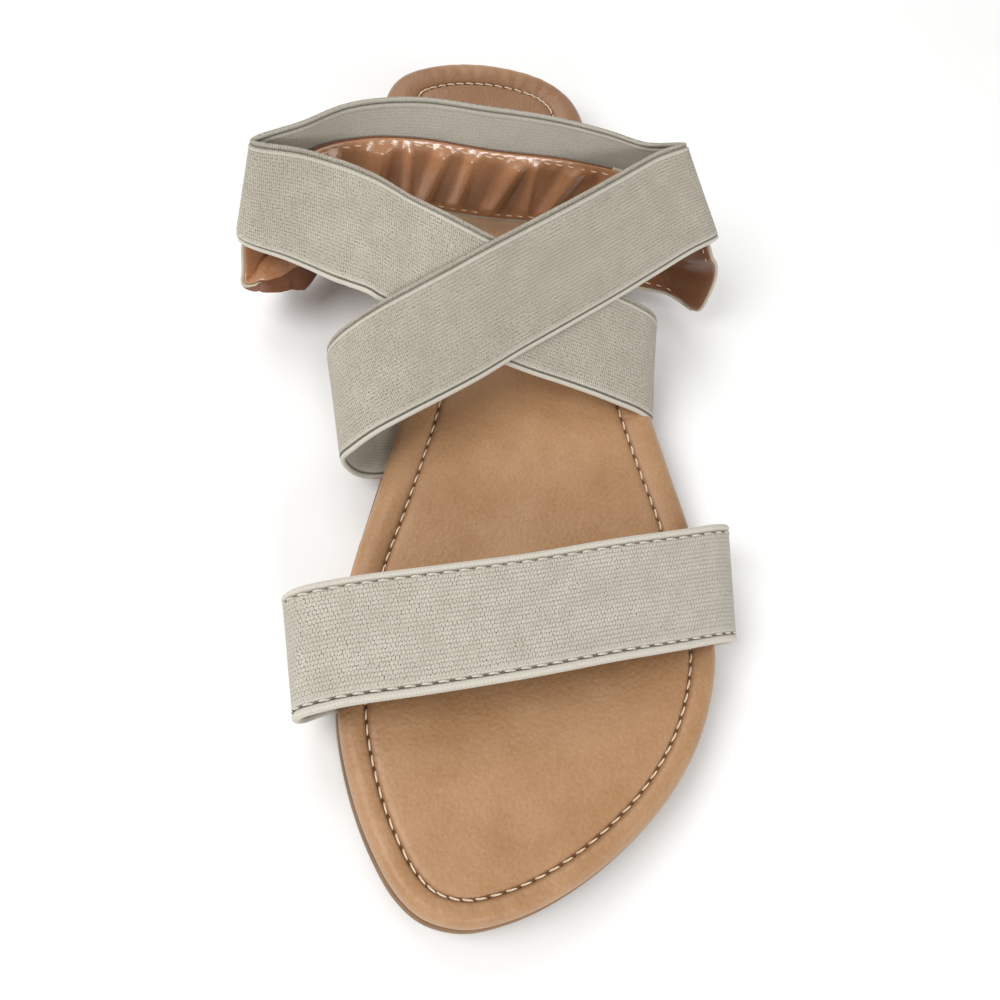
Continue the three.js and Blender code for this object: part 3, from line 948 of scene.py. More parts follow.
@dataclass(frozen=True)
class MouldedRubber:
    """Moulded rubber: an even body with a dusty skin."""

    title: str
    light: str
    deep: str
    roughness: float

    def make(self) -> Paint:
        """Builds the material."""
        paint = Paint.begin(self.title, {"IOR": 1.52, "Specular IOR Level": 0.4})
        where = paint.place(Space.OBJECT)
        grain = paint.noise(where, 0.5 * MM, 3.0)
        cloud = paint.noise(where, 12 * MM, 4.0)
        paint.connect(
            Base_Color=paint.ramp(cloud, ((0.35, self.deep), (0.65, self.light))),
            Roughness=paint.spread(cloud, 0.3, 0.7, self.roughness - 0.06, self.roughness + 0.08),
            Normal=paint.bump(grain, 0.03),
        )
        return paint


@dataclass(frozen=True)
class PlainFinish:
    """An even finish with a breath of tone, for holes and the floor."""

    title: str
    light: str
    deep: str
    roughness: float

    def make(self) -> Paint:
        """Builds the material."""
        paint = Paint.begin(self.title, {"Roughness": self.roughness})
        cloud = paint.noise(paint.place(Space.OBJECT), 40 * MM, 2.0)
        paint.connect(Base_Color=paint.ramp(cloud, ((0.3, self.deep), (0.7, self.light))))
        return paint


# Fine pebbled tan film: broad soft highlights on the roll; its groove colour is painted shade, in the
# stitched groove, low on the side under the roll and over the heel's seat.
FOOTBED_LEATHER = CoatedLeather(
    "Polyurethane leather, footbed", light="#b08862", deep="#a1774f", groove="#70452a",
    roughness=0.46, coat=0.12, coat_roughness=0.36, relief=0.12,
)
# Thin glossy film over soft foam: its gathers catch pale streaks, and small wrinkles break them up; its
# groove colour is painted shade in the troughs between the gathers and over the lateral ear.
LINING_LEATHER = CoatedLeather(
    "Polyurethane leather, sling lining", light="#b5815a", deep="#a5724c", groove="#4c240a",
    roughness=0.34, coat=1.0, coat_roughness=0.17, pebble=1.2, relief=0.004, wrinkle=0.22,
)
# The same leather's darker back, seen outside the sling and under the toe band.
SHELL_LEATHER = CoatedLeather(
    "Polyurethane leather, backing", light="#7a4d31", deep="#6b4028", groove="#40230f",
    roughness=0.42, coat=0.2,
)
# Fine greige cords with broken picks: matt, speckled with small shadows, with pale corded selvedges;
# painted shade in the gutters and a painted highlight along the second rib.
ANKLE_YARN = WovenElastic(
    "Woven elastic, ankle strap", light="#b8b1a3", deep="#8b8475", gap="#3b3529", cord="#cfcabd",
    rib=0.86, pick=0.5, stagger=0.31, speckle=0.42,
)
# A paler and opener grid of rows and picks, with a rolled edge and painted shade in its gutters.
TOE_YARN = WovenElastic(
    "Woven elastic, toe strap", light="#c2bcaf", deep="#958d7e", gap="#322c21", cord="#d0cabd",
    rib=1.0, pick=0.8, stagger=0.5, relief=0.16, speckle=0.42, evenness=0.36,
)
# Folded beige edging: a fine dull weave.
BEAD_YARN = WovenElastic(
    "Woven edging, sling", light="#bdb19d", deep="#a69985", gap="#6e6250", cord="#c4b9a6",
    rib=0.6, pick=0.5, stagger=0.5,
)
# Cream twist on the footbed and the sling: the brightest small marks on the leather.
CREAM_THREAD = Thread("Waxed polyester thread, cream", "#efdcc0", "#c9a983")
# Thread in the band's own beige, told from the weave by its groove and holes alone.
BEIGE_THREAD = Thread("Waxed polyester thread, beige", "#d9d1c2", "#b3aa9a")
# Brown sole with a dusty skin, as dark as the shaded underside of the roll above it.
SOLE_RUBBER = MouldedRubber("Thermoplastic rubber, outsole", "#8d6b49", "#79593b", 0.6)
# Painted shade in the needle holes: small brown pits between the stitches.
HOLE_SHADE = PlainFinish("Needle hole, pierced leather", "#6b472c", "#583820", 0.8)
# Painted shade in the needle holes: small dull pits in the webbing.
WEB_HOLE_SHADE = PlainFinish("Needle hole, pierced webbing", "#77695a", "#655848", 0.8)
# Plain pale ground.
FLOOR_SHEET = PlainFinish("Matt board, studio floor", "#f8f8f7", "#f5f5f4", 0.9)


def finish_piece(piece: Piece, paint: Paint, node: str | None = None) -> Piece:
    """Dresses a piece and ties it to the frame.

    Args:
        piece: The piece.
        paint: Its material.
        node: The CAD node that it stands for, if any.

    Returns:
        The piece.
    """
    paint.wear(piece)
    if node is not None:
        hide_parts(node)
    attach(piece, BODY)
    triangles = sum(len(face.vertices) - 2 for face in piece.data.polygons)
    LOG.info("%s: %d triangles", piece.name, triangles)
    return piece


@dataclass
class Sole:
    """The outsole, and the padded footbed on it with its stitched groove."""

    footbed_steps: int = 560
    footbed_short: int = 70
    outsole_steps: int = 720
    outsole_short: int = 60
    reveal: float = 0.3
    waist_reveal: float = 0.8
    stitch_pitch: float = 3.7
    stitch_length: float = 2.7
    thread: float = 0.5
    # How far each stitch pulls the groove down, and how far the panel lies under the groove's edge
    stitch_pull: float = 0.24
    panel_dip: float = 0.5
    groove_half: float = 0.55
    # Where painted shade darkens the heel's seat, along Y from start to full and from full to end
    seat_shade: tuple[float, float, float, float] = (78, 98, 118, 124)
    tread_pitch: float = 4.6
    tread_depth: float = 0.55
    # Share of the roll's width, millimetres more, level as a share of the footbed's thickness
    footbed_rings: tuple = (
        (0.08, 0.0, 0.0),
        (0.02, 0.0, 0.08),
        (0.0, 0.0, 0.22),
        (0.0, 0.0, 0.36),
        (0.0, 0.0, 0.48),
        (0.025, 0.0, 0.62),
        (0.08, 0.0, 0.74),
        (0.16, 0.0, 0.85),
        (0.26, 0.0, 0.93),
        (0.38, 0.0, 0.98),
        (0.52, 0.0, 1.0),
        (0.66, 0.0, 0.99),
        (0.8, 0.0, 0.955),
        (0.9, 0.0, 0.915),
        (1.0, -0.5, 0.87),
        (1.0, -0.25, 0.82),
        (1.0, 0.0, 0.79),
        (1.0, 0.25, 0.815),
        (1.0, 0.5, 0.86),
        (1.0, 1.0, 0.91),
        (1.0, 2.0, 0.945),
        (1.0, 3.5, 0.96),
        (1.0, 5.5, 0.965),
    )
    outsole_rings: tuple = ((1.6, 0.0), (1.0, 0.02), (0.45, 0.07), (0.12, 0.16), (0.0, 0.3), (0.0, 0.6),
                            (0.0, 0.86), (0.12, 0.95), (0.4, 1.0))

    def slab(self, name: str, rings: list[Array], lengths: Array, top: Array, bottom: Array) -> Piece:
        """Builds a closed slab from rings, its lowest first, with a patch on top and one underneath."""
        stack = np.stack(rings)
        closed = np.concatenate([stack, stack[:, :1]], axis=1)
        rise = run_lengths(stack[:, 0])
        wall = grid_piece(name, closed, lengths, rise)
        parts = [wall]
        for label, patch in (("top", top), ("bottom", bottom)):
            rows, columns = patch.shape[:2]
            parts.append(grid_piece(f"{name}_{label}", patch, np.arange(columns), np.arange(rows)))
        piece = join_pieces(name, parts)
        close_piece(piece, capped=False)
        return piece

    def build_footbed(self) -> Piece:
        """Builds the padded footbed."""
        ring = outline_ring(self.footbed_steps)
        lengths = run_lengths(back_to_start(ring))
        along = along_of(ring)
        width = roll_width(along)
        beat = 0.5 - 0.5 * np.cos(2 * np.pi * lengths[:-1] / self.pitch_on(lengths[-1]))
        rings = []
        for share, more, level in self.footbed_rings:
            points = inset_ring(ring, share * width + more)
            near = math.exp(-((more / 0.8) ** 2)) if share == 1.0 else 0.5 * fade(share, 0.55, 1.0)
            crown = math.sin(math.pi * min(max((share - 0.02) / 0.98, 0.0), 1.0))
            rise = level * FOOTBED_THICKNESS - self.stitch_pull * near * beat
            rise = rise + crown * self.puckers(points, lengths[:-1])
            points[:, 2] = seam(along_of(points)) + CLEARANCE + rise
            rings.append(points)
        top = coons_patch(rings[-1], self.footbed_short)
        gap = np.min(np.linalg.norm(top[:, :, None, :2] - rings[-1][None, None, ::4, :2], axis=3), axis=2)
        level = self.footbed_rings[-1][2] * FOOTBED_THICKNESS - self.panel_dip * fade(gap, 0, 18)
        level = level + self.swells(top) * fade(gap, 0, 6)
        top[..., 2] = seam(along_of(top)) + CLEARANCE + level
        bottom = coons_patch(rings[0], self.footbed_short)
        bottom[..., 2] = seam(along_of(bottom)) + CLEARANCE
        piece = self.slab("footbed_cover", rings, lengths, top, bottom)
        self.mark_painted_shade(piece, ring)
        return piece

    def swells(self, points: Array) -> Array:
        """The padded panel's own soft unevenness, in millimetres."""
        x, y = points[..., 0], points[..., 1]
        return (
            0.09 * np.sin(x / 7.3 + 1.9 * np.sin(y / 23))
            + 0.08 * np.sin(y / 8.9 + 1.4 * np.sin(x / 15) + 0.7)
            + 0.05 * np.sin((x + y) / 5.1 + np.sin(y / 11))
        )

    def puckers(self, points: Array, lengths: Array) -> Array:
        """How the roll's cover is drawn into small pleats where it goes round the toe and the heel."""
        along = along_of(points)
        bends = fade(along, 0.83, 0.93) + fade(0.17 - along, 0.0, 0.1)
        ripple = np.sin(2 * np.pi * lengths / 5.3) * (0.6 + 0.4 * np.sin(lengths / 9.1))
        swell = 0.10 * np.sin(lengths / 12.7) + 0.07 * np.sin(lengths / 5.9 + 1.0)
        return 0.13 * bends * ripple + swell

    def pitch_on(self, total: float) -> float:
        """The stitch pitch that divides the ring into whole stitches."""
        return total / round(total / self.stitch_pitch)

    def mark_painted_shade(self, piece: Piece, ring: Array) -> None:
        """Writes the painted shade on each point of the footbed: in the stitched groove, low on its side
        under the roll's edge, and over the heel's seat.
        """
        points = read_points(piece.data) / MM - np.array(FRAME_SHIFT)
        distance = np.full(len(points), 1e9)
        for start in range(0, len(ring), 70):
            part = ring[start : start + 70, :2]
            gaps = np.linalg.norm(points[:, None, :2] - part[None], axis=2)
            distance = np.minimum(distance, gaps.min(axis=1))
        width = roll_width(along_of(points))
        # Painted shade: in the stitched groove, low on the side under the roll's edge, and over the heel's
        # seat under the sling
        groove = np.exp(-(((distance - width) / self.groove_half) ** 2))
        low = 1 - fade(points[:, 2] - seam(along_of(points)), 0.2, 3.6)
        behind = 1 - fade(points[:, 1], *self.seat_shade[2:])
        shade = 0.5 * fade(points[:, 1], *self.seat_shade[:2]) * behind
        crease = np.clip(0.6 * groove + 0.7 * low + shade, 0, 1)
        write_mark(piece.data, "crease", crease)

    def build_stitches(self) -> tuple[Piece, Piece]:
        """Builds the thread and the needle holes in the groove."""
        ring = outline_ring(self.footbed_steps * 2)
        groove = inset_ring(ring, roll_width(along_of(ring)))
        closed = back_to_start(groove)
        lengths = run_lengths(back_to_start(ring))
        pitch = self.pitch_on(lengths[-1])
        count = int(round(lengths[-1] / pitch))

        def read(stations: Array) -> Spots:
            """Places on the groove at lengths run along the outline."""
            origin = read_line(stations, lengths, closed)
            ahead = unit(read_line((stations + 0.5) % lengths[-1], lengths, closed) - origin)
            up = np.tile([0.0, 0.0, 1.0], (len(origin), 1))
            origin[:, 2] = seam(along_of(origin)) + CLEARANCE + 0.84 * FOOTBED_THICKNESS
            return Spots(origin, unit(np.cross(ahead, up)), ahead, up)

        stations = np.arange(count) * pitch
        seed = stitch_seed(self.stitch_length, self.thread, 0.12)
        thread = scatter("footbed_stitches", seed, read(stations))
        spots = read(stations + pitch / 2)
        spots.origin[:, 2] -= 0.16
        holes = scatter("footbed_needle_holes", hole_seed(0.8, 0.5), spots)
        return thread, holes

    def build_outsole(self) -> Piece:
        """Builds the outsole with its fine wavy tread."""
        ring = outline_ring(self.outsole_steps)
        lengths = run_lengths(back_to_start(ring))
        along = along_of(ring)
        rings = []
        medial = ring[:, 0] < BALL_WIDTH * 0.02
        waist = fade(along, 0.03, 0.12) * (1 - fade(along, 0.55, 0.72)) * medial
        reveal = self.reveal + (self.waist_reveal - self.reveal) * waist
        reveal = np.mean([np.roll(reveal, k) for k in range(-12, 13)], axis=0)
        for inset, level in self.outsole_rings:
            points = inset_ring(ring, inset - reveal)
            places = along_of(points)
            points[:, 2] = underside(along) + level * (seam(along) - underside(along))
            points[:, 2] = np.where(level == 0.0, underside(places), points[:, 2])
            rings.append(points)
        top = coons_patch(rings[-1], self.outsole_short)
        top[..., 2] = seam(along_of(top))
        bottom = coons_patch(rings[0], self.outsole_short)
        x, y = bottom[..., 0], bottom[..., 1]
        gap = np.min(np.linalg.norm(bottom[:, :, None, :2] - ring[None, None, ::6, :2], axis=3), axis=2)
        wave = np.sin(2 * np.pi * (y + 1.6 * np.sin(2 * np.pi * x / 15)) / self.tread_pitch)
        depth = self.tread_depth * fade(wave, -0.1, 0.35) * fade(gap, 5.0, 5.8)
        bottom[..., 2] = underside(along_of(bottom)) + depth
        return self.slab("outsole_body", rings, lengths, top, bottom)

    def build(self) -> None:
        """Builds and dresses the whole sole."""
        leather = FOOTBED_LEATHER.make()
        footbed = finish_piece(self.build_footbed(), leather, "footbed")
        thread, holes = self.build_stitches()
        finish_piece(thread, CREAM_THREAD.make())
        finish_piece(holes, HOLE_SHADE.make())
        finish_piece(self.build_outsole(), SOLE_RUBBER.make(), "outsole")


@dataclass
class RibbedSection:
    """The section of a woven band: a round cord at each edge, a gutter, and ribs between."""

    width: float
    thickness: float
    cord: float
    gutter: float
    rib_pitch: float
    rib_depth: float
    gutter_depth: float
    per_rib: int = 4
    # The raised rib inside the high edge: whether there is one, how far in, half its width, its height
    second_rib: bool = False
    second_place: float = 1.95
    second_half: float = 0.3
    second_rise: float = 0.16

    def face(self) -> tuple[Array, Array, Array, Array]:
        """The outer face from the low edge to the high one.

        Returns:
            Distances across, distances out of the middle, how deep in a gutter, how much of a cord.
        """
        angles = np.radians(np.linspace(180, 38, 7))
        cord_side = self.cord * (1 + np.cos(angles))
        cord_face = self.cord * np.sin(angles)
        start = self.start()
        ribs = self.ribs()
        phase = np.arange(ribs * self.per_rib + 1) / self.per_rib
        rib_side = start + phase * (self.width - 2 * start) / ribs
        rib_face = self.thickness / 2 - self.rib_depth * (0.5 + 0.5 * np.cos(2 * np.pi * phase))
        side = np.concatenate([cord_side, [2 * self.cord], rib_side])
        face = np.concatenate([cord_face, [self.thickness / 2 - self.gutter_depth], rib_face])
        # Painted shade in the gutter beside each cord; the cords and the first rib are painted paler
        deep = np.concatenate([np.zeros(6), [0.3, 1.0, 0.6], np.zeros(len(phase) - 1)])
        light = np.concatenate([np.ones(6), [0.6, 0.0], 0.6 * np.exp(-(((phase - 0.55) / 0.5) ** 2))])
        ends = len(cord_side) + 1
        side = np.concatenate([side, self.width - side[:ends][::-1]])
        face = np.concatenate([face, face[:ends][::-1]])
        deep = np.concatenate([deep, deep[:ends][::-1]])
        light = np.concatenate([light, light[:ends][::-1]])
        if self.second_rib:
            inside = side[-1] - side
            line = np.exp(-(((inside - self.second_place) / self.second_half) ** 2))
            face = face + self.second_rise * line
            # Painted highlight along the second rib; painted shade over the high edge's outer cord
            light = np.clip(light * (inside > 1.3) + 0.9 * line, 0, 1)
            deep = np.clip(deep + 0.14 * (inside < 1.2), 0, 1)
        return side - self.width / 2, face, deep, light

    def start(self) -> float:
        """How far inside the edge the ribs start."""
        return 2 * self.cord + self.gutter

    def ribs(self) -> int:
        """How many ribs lie between the gutters."""
        return int(round((self.width - 2 * self.start()) / self.rib_pitch))

    def loop(self) -> tuple[Array, Array, Array, Marks]:
        """The whole section: along the outer face, and back along the inner one.

        Returns:
            Distances across, distances out of the middle, UV places, and the marks for the finish.
        """
        side, face, deep, light = self.face()
        inner = slice(-2, 0, -1)
        u = np.concatenate([side + self.width / 2, self.width * 1.5 - side[inner], [2 * self.width]])
        # The inner face is painted paler as painted light, with at least a little painted shade
        marks = {
            "crease": np.concatenate([deep, np.maximum(deep[inner], 0.06)]),
            "cord": np.concatenate([light, 0.5 + 0.3 * light[inner]]),
        }
        return np.concatenate([side, side[inner]]), np.concatenate([face, -face[inner]]), u, marks


@dataclass
class AnkleStrap:
    """The crossed elastic: up from the medial arch, round the back, and down under itself."""

    width: float = 28.0
    thickness: float = 1.4
    height: float = 50.0
    spacing: float = 1.6
    cord: float = 0.6
    rib_pitch: float = 0.86
    rib_depth: float = 0.025
    rise: Course = field(init=False)
    course: Course = field(init=False)

    def __post_init__(self) -> None:
        """Works out the strap's run."""
        self.rise = strap_course(ANKLE_RISE, self.width, self.height)
        loose = strap_course(ANKLE_RETURN, self.width, self.height)
        start = UNDER_RUN_START * STEPS_PER_ROW
        top = self.rise.cut(TOP_RUN[0] * STEPS_PER_ROW, TOP_RUN[1] * STEPS_PER_ROW)
        laid = loose.cut(start).laid_on(top, self.width, CROSSING_BITE - self.thickness)
        descent = loose.cut(0, start).then(laid)
        self.course = self.rise.then(descent.cut(1))

    def back_run(self) -> Course:
        """The stretch round the back, that the heel sling is laid on."""
        meeting = len(self.rise.low) - 1
        return self.course.cut(BACK_RUN[0] * STEPS_PER_ROW, meeting + BACK_RUN[1] * STEPS_PER_ROW)

    def build(self) -> None:
        """Builds and dresses the strap."""
        run = self.course.evened(self.spacing)
        section = RibbedSection(
            self.width, self.thickness, self.cord, gutter=0.3, rib_pitch=self.rib_pitch,
            rib_depth=self.rib_depth, gutter_depth=0.4, second_rib=True,
        )
        side, face, u, marks = section.loop()
        piece = wrap_piece("ankle_strap_elastic", run.points(side, face), u, run.lengths, marks)
        finish_piece(piece, ANKLE_YARN.make(section.start()), "ankle_strap")


@dataclass
class ToeStrap:
    """The band over the toes: woven elastic rolled over a lining and stitched along both edges."""

    width: float = 28.8
    thickness: float = 2.0
    height: float = 30.0
    spacing: float = 1.2
    cord: float = 1.0
    rib_pitch: float = 1.0
    rib_depth: float = 0.07
    stitch_pitch: float = 3.6
    stitch_length: float = 2.6

    def build(self) -> None:
        """Builds and dresses the strap."""
        run = strap_course(TOE_ROWS, self.width, self.height).evened(self.spacing)
        section = RibbedSection(
            self.width, self.thickness * 0.86, self.cord, gutter=0.35, rib_pitch=self.rib_pitch,
            rib_depth=self.rib_depth, gutter_depth=0.4, per_rib=3,
        )
        side, face, u, marks = section.loop()
        band = wrap_piece("toe_strap_webbing", run.points(side, face), u, run.lengths, marks)
        finish_piece(band, TOE_YARN.make(section.start()), "toe_strap")
        finish_piece(self.lining(run), SHELL_LEATHER.make())
        thread, holes = self.stitches(run)
        finish_piece(thread, BEIGE_THREAD.make())
        finish_piece(holes, WEB_HOLE_SHADE.make())

    def lining(self, run: Course) -> Piece:
        """Builds the thin lining that backs the band."""
        across = (self.width / 2 - 0.9) * np.linspace(-1, 1, 13)
        side = np.concatenate([across, across[-2:0:-1]])
        level = -0.43 * self.thickness
        face = np.concatenate([np.full(13, level), np.full(11, level - 0.14)])
        u = np.concatenate([across, 2 * across[-1] - across[-2::-1]])
        # Painted shade all over the lining, which lies under the band
        marks = {"crease": np.full(24, 0.35)}
        return wrap_piece("toe_strap_lining", run.points(side, face), u, run.lengths, marks)

    def stitches(self, run: Course) -> tuple[Piece, Piece]:
        """Builds the two rows of topstitching on the outer face, and the holes between the stitches."""
        inset = 2 * self.cord + 0.2
        face = 0.4 * self.thickness
        thread, holes = [], []
        for sign in (-1, 1):
            side = sign * (self.width / 2 - inset)
            thread.append(stitch_row("toe_strap_stitches", run, side, face, self.stitch_pitch,
                                     stitch_seed(self.stitch_length, 0.5, 0.1)))
            holes.append(stitch_row("toe_strap_needle_holes", run, side, face - 0.05, self.stitch_pitch,
                                    hole_seed(0.75, 0.5), 0.5))
        return join_pieces("toe_strap_stitches", thread), join_pieces("toe_strap_needle_holes", holes)


def stitch_row(name: str, run: Course, side: float, face: float, pitch: float, seed: Piece,
               phase: float = 0.0, span: tuple[float, float] = (0.06, 0.94)) -> Piece:
    """A row of stitches, or of their holes, on a strap's outer face.

    Args:
        name: The piece's name.
        run: The strap's run.
        side: Where the row lies, in millimetres from the strap's middle line.
        face: How far out of the strap's middle surface it lies.
        pitch: From stitch to stitch.
        seed: The stitch or hole that is copied.
        phase: How far the row is shifted, as a share of the pitch.
        span: The shares of the run that it starts and ends at.

    Returns:
        The row as one piece.
    """
    line = run.points(np.array([side]), np.array([face]))[:, 0]
    lengths = run_lengths(line)
    stations = np.arange(span[0] * lengths[-1], span[1] * lengths[-1], pitch) + phase * pitch
    reach = 0.3 * pitch
    ahead = unit(read_line(stations + reach, lengths, line) - read_line(stations - reach, lengths, line))
    sideways = unit(np.cross(ahead, unit(read_line(stations, lengths, run.outward))))
    spots = Spots(read_line(stations, lengths, line), sideways, ahead, np.cross(sideways, ahead))
    return scatter(name, seed, spots)


@dataclass
class HeelSling:
    """The gathered sling round the heel: a glossy lining, a darker shell, a woven edging between."""

    width: float = 20.0
    thickness: float = 1.8
    height: float = 50.0
    spacing: float = 0.7
    bead: float = 0.5
    stitch_inset: float = 1.7
    sheet_inset: float = 0.3
    pucker_pitch: float = 3.1
    pucker_height: float = 0.07
    puff: float = 0.45
    # Shares of the run where the gathered stretch starts and is full, and where it fades and ends
    gathered_span: tuple[float, float, float, float] = (0.27, 0.33, 0.67, 0.72)
    # Shares of the run up to which painted shade darkens the lateral ear, and where that has gone
    shaded_ear: tuple[float, float] = (0.2, 0.27)
    # Shares of the run between which the low edge has no bead
    bare_edge: tuple[float, float] = (0.34, 0.72)
    # Where the sling turns under, its shell reaches below it: share of the run, millimetres
    flap: tuple = (
        (0.775, 0.0),
        (0.795, 2.2),
        (0.825, 4.0),
        (0.85, 5.8),
        (0.862, 6.2),
        (0.872, 4.6),
        (0.882, 0.0),
    )

    def relief(self, run: Course, side: Array) -> Array:
        """How far the gathered lining stands out at each step and column."""
        lengths = run.lengths[:, None]
        reach = side[None] / self.width
        raised = np.zeros((len(run.low), len(side)))
        for share, slant, width, height in GATHERS:
            offset = lengths - share * lengths[-1] - slant * reach
            raised += height * np.exp(-np.abs(offset / np.where(offset < 0, 0.5 * width, width)) ** 1.6)
        open_field = 1 - fade(np.abs(2 * reach), 0.6, 0.9)
        place = lengths / lengths[-1]
        drawn = fade(place, *self.gathered_span[:2]) * (1 - fade(place, *self.gathered_span[2:]))
        edge = drawn * fade(np.abs(2 * reach), 0.5, 0.8) * (1 - fade(np.abs(2 * reach), 0.84, 1.0))
        pucker = self.pucker_height * edge * np.sin(2 * np.pi * lengths / self.pucker_pitch)
        puffed = self.puff * (1 - (2 * reach) ** 2)
        return raised * open_field + pucker + puffed

    def sheet(self, name: str, run: Course, cups: Array, inner: float, outer: float,
              gathered: bool, flap: Array | None = None) -> Piece:
        """Builds one layer of the sling.

        Args:
            name: The piece's name.
            run: The sling's run.
            cups: How deep each step is hollowed.
            inner: The level of its back, out of the sling's middle surface.
            outer: The level of its front.
            gathered: Whether its front is gathered.
            flap: How far its low edge reaches past the sling's at each step.

        Returns:
            The layer.
        """
        half = self.width / 2 - self.sheet_inset
        across = half * np.sin(np.linspace(-math.pi / 2, math.pi / 2, 37))
        side = np.concatenate([across, across[-2:0:-1]])
        middle, thick = (inner + outer) / 2, (outer - inner) / 2
        edge = np.clip(1 - (np.abs(across) / half) ** 10, 0, 1) ** 0.5
        face = np.concatenate([middle + thick * edge, (middle - thick * edge)[-2:0:-1]])
        hollow = cups[:, None] * (1 - (2 * side / self.width) ** 2)[None] + face[None]
        crease = np.zeros(hollow.shape)
        if gathered:
            raised = self.relief(run, across)
            hollow[:, : len(across)] += raised
            padded = np.pad(raised, ((8, 8), (0, 0)), "edge")
            smooth = np.mean([padded[k : k + len(raised)] for k in range(17)], axis=0)
            # Painted shade in the troughs between the gathers, and over the whole lateral ear
            crease[:, : len(across)] = np.clip(1.1 * (smooth - raised), 0, 0.45)
            crease += 0.75 * (1 - fade(run.lengths / run.lengths[-1], *self.shaded_ear))[:, None]
        u = np.concatenate([across + half, 3 * half - across[-2:0:-1], [4 * half]])
        spread = np.tile(side, (len(cups), 1))
        if flap is not None:
            share = np.clip(-side / half, 0, 1)[None] ** 3
            spread = spread - flap[:, None] * share
            hollow = hollow - 0.6 * flap[:, None] * share
        return wrap_piece(name, run.points(spread, hollow), u, run.lengths, {"crease": crease})

    def edging(self, run: Course, side: float, face: float) -> Piece:
        """Builds a bead of edging along a run."""
        angles = np.linspace(0, 2 * np.pi, 8, endpoint=False)
        points = run.points(side + self.bead * np.cos(angles), face + self.bead * np.sin(angles))
        u = np.linspace(0, 2 * np.pi * self.bead, 9)
        return wrap_piece("heel_sling_edging", points, u, run.lengths, {"cord": np.full(8, 0.6)})

    def build(self, ankle: AnkleStrap) -> None:
        """Builds and dresses the sling inside the ankle strap."""
        depth = -(ankle.thickness / 2 + CLEARANCE + self.thickness / 2)
        loose = strap_course(SLING_ROWS, self.width, self.height)
        laid = loose.laid_on(ankle.back_run(), ankle.width, depth)
        cups = np.interp(np.linspace(0, len(SLING_ROWS) - 1, len(laid.low)), np.arange(len(SLING_ROWS)),
                         [row[5] for row in SLING_ROWS])
        run = laid.evened(self.spacing)
        cups = np.interp(run.lengths / run.lengths[-1], laid.lengths / laid.lengths[-1], cups)
        half = self.thickness / 2
        lining = self.sheet("heel_sling_lining", run, cups, -0.05, half, gathered=True)
        flap = np.interp(run.lengths / run.lengths[-1], *zip(*self.flap))
        shell = self.sheet("heel_sling_shell", run, cups, -half, 0.05, gathered=False, flap=flap)
        finish_piece(lining, LINING_LEATHER.make(), "heel_sling")
        finish_piece(shell, SHELL_LEATHER.make())
        first, last = (int(share * len(run.low)) for share in self.bare_edge)
        low_side, high_side = self.sheet_inset - self.width / 2, self.width / 2 + 0.05
        beads = [
            self.edging(run.cut(0, first), low_side, -0.1),
            self.edging(run.cut(last), low_side, -0.1),
            self.edging(run, high_side, 0.1),
        ]
        finish_piece(join_pieces("heel_sling_edging", beads), BEAD_YARN.make(0.0))
        rows = [
            stitch_row("heel_sling_stitches", run, sign * (self.width / 2 - self.stitch_inset), half + 0.1,
                       self.pucker_pitch, stitch_seed(2.1, 0.42, 0.1))
            for sign in (-1, 1)
        ]
        finish_piece(join_pieces("heel_sling_stitches", rows), CREAM_THREAD.make())


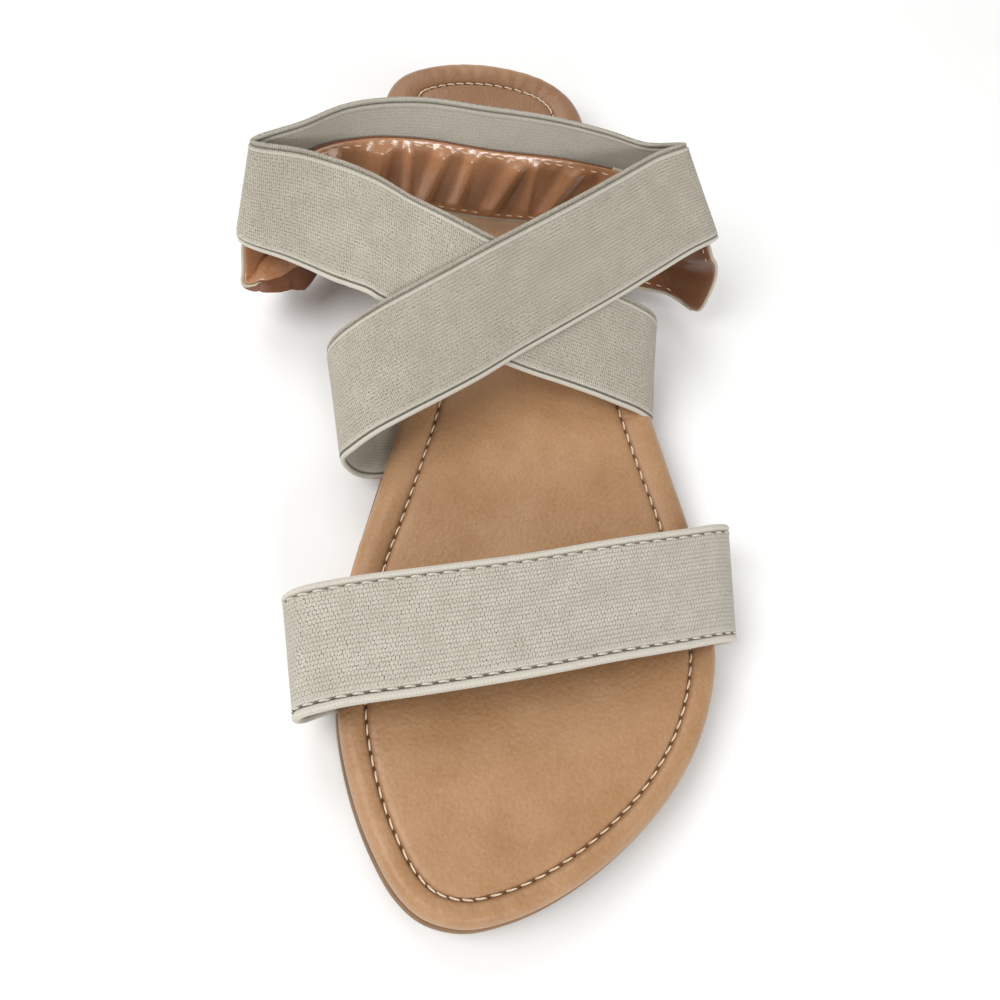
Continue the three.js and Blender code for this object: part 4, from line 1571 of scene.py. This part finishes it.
@dataclass
class Studio:
    """The floor, the soft lights and the camera."""

    camera_spot: tuple[float, float, float] = (-28.5, -149.1, 239.2)
    camera_target: tuple[float, float, float] = (4.4, -32.2, 20.0)
    camera_roll: float = 18.14
    lens: float = 38.2
    # Name, spot, size and power of each light, in metres and watts
    lights: tuple = (
        ("key", (-0.6, -0.2, 0.8), 0.7, 6.0),
        ("front", (0.2, -0.95, 0.5), 0.3, 3.6),
        ("side", (0.9, -0.35, 0.35), 0.5, 1.8),
        ("back", (-0.35, 0.7, 0.8), 0.8, 4.2),
    )
    world: str = "#ffffff"
    world_strength: float = 0.42

    def build_camera(self) -> None:
        """Sets the camera at the photograph's angle to the shoe."""
        data = bpy.data.cameras.new("studio_camera")
        data.lens = self.lens
        data.clip_start = 0.01
        camera = bpy.data.objects.new("studio_camera", data)
        bpy.context.collection.objects.link(camera)
        spot = Vector(self.camera_spot) * MM
        camera.location = spot
        camera.rotation_mode = "QUATERNION"
        aim = (Vector(self.camera_target) * MM - spot).to_track_quat("-Z", "Y")
        camera.rotation_quaternion = aim @ Quaternion((0, 0, 1), math.radians(self.camera_roll))
        bpy.context.scene.camera = camera

    def build_lights(self) -> None:
        """Sets the soft lights and the pale surround."""
        for name, spot, size, power in self.lights:
            data = bpy.data.lights.new(f"studio_{name}", "AREA")
            data.shape = "DISK"
            data.size = size
            data.energy = power
            light = bpy.data.objects.new(f"studio_{name}", data)
            bpy.context.collection.objects.link(light)
            light.location = spot
            light.rotation_mode = "QUATERNION"
            light.rotation_quaternion = (-Vector(spot)).to_track_quat("-Z", "Y")
        world = bpy.data.worlds.new("studio_surround")
        world.use_nodes = True
        surround = world.node_tree.nodes["Background"]
        surround.inputs[0].default_value = linear(self.world)
        surround.inputs[1].default_value = self.world_strength
        bpy.context.scene.world = world
        bpy.context.scene.view_settings.view_transform = "Standard"

    def build_floor(self) -> None:
        """Lays the plain pale floor."""
        bpy.ops.object.select_all(action="DESELECT")
        bpy.ops.mesh.primitive_plane_add(size=6.0, location=(0, 0, 0))
        floor = bpy.context.active_object
        floor.name = floor.data.name = "studio_floor"
        FLOOR_SHEET.make().wear(floor)

    def build(self) -> None:
        """Builds the whole studio."""
        self.build_camera()
        self.build_lights()
        self.build_floor()
        LOG.info("studio: %d lights", len(self.lights))


def main() -> None:
    """Builds the studio and every piece of the sandal."""
    logging.basicConfig(level=logging.INFO, format="%(name)s: %(message)s")
    Studio().build()
    Sole().build()
    ankle = AnkleStrap()
    ankle.build()
    ToeStrap().build()
    HeelSling().build(ankle)


if __name__ == "__main__":
    main()
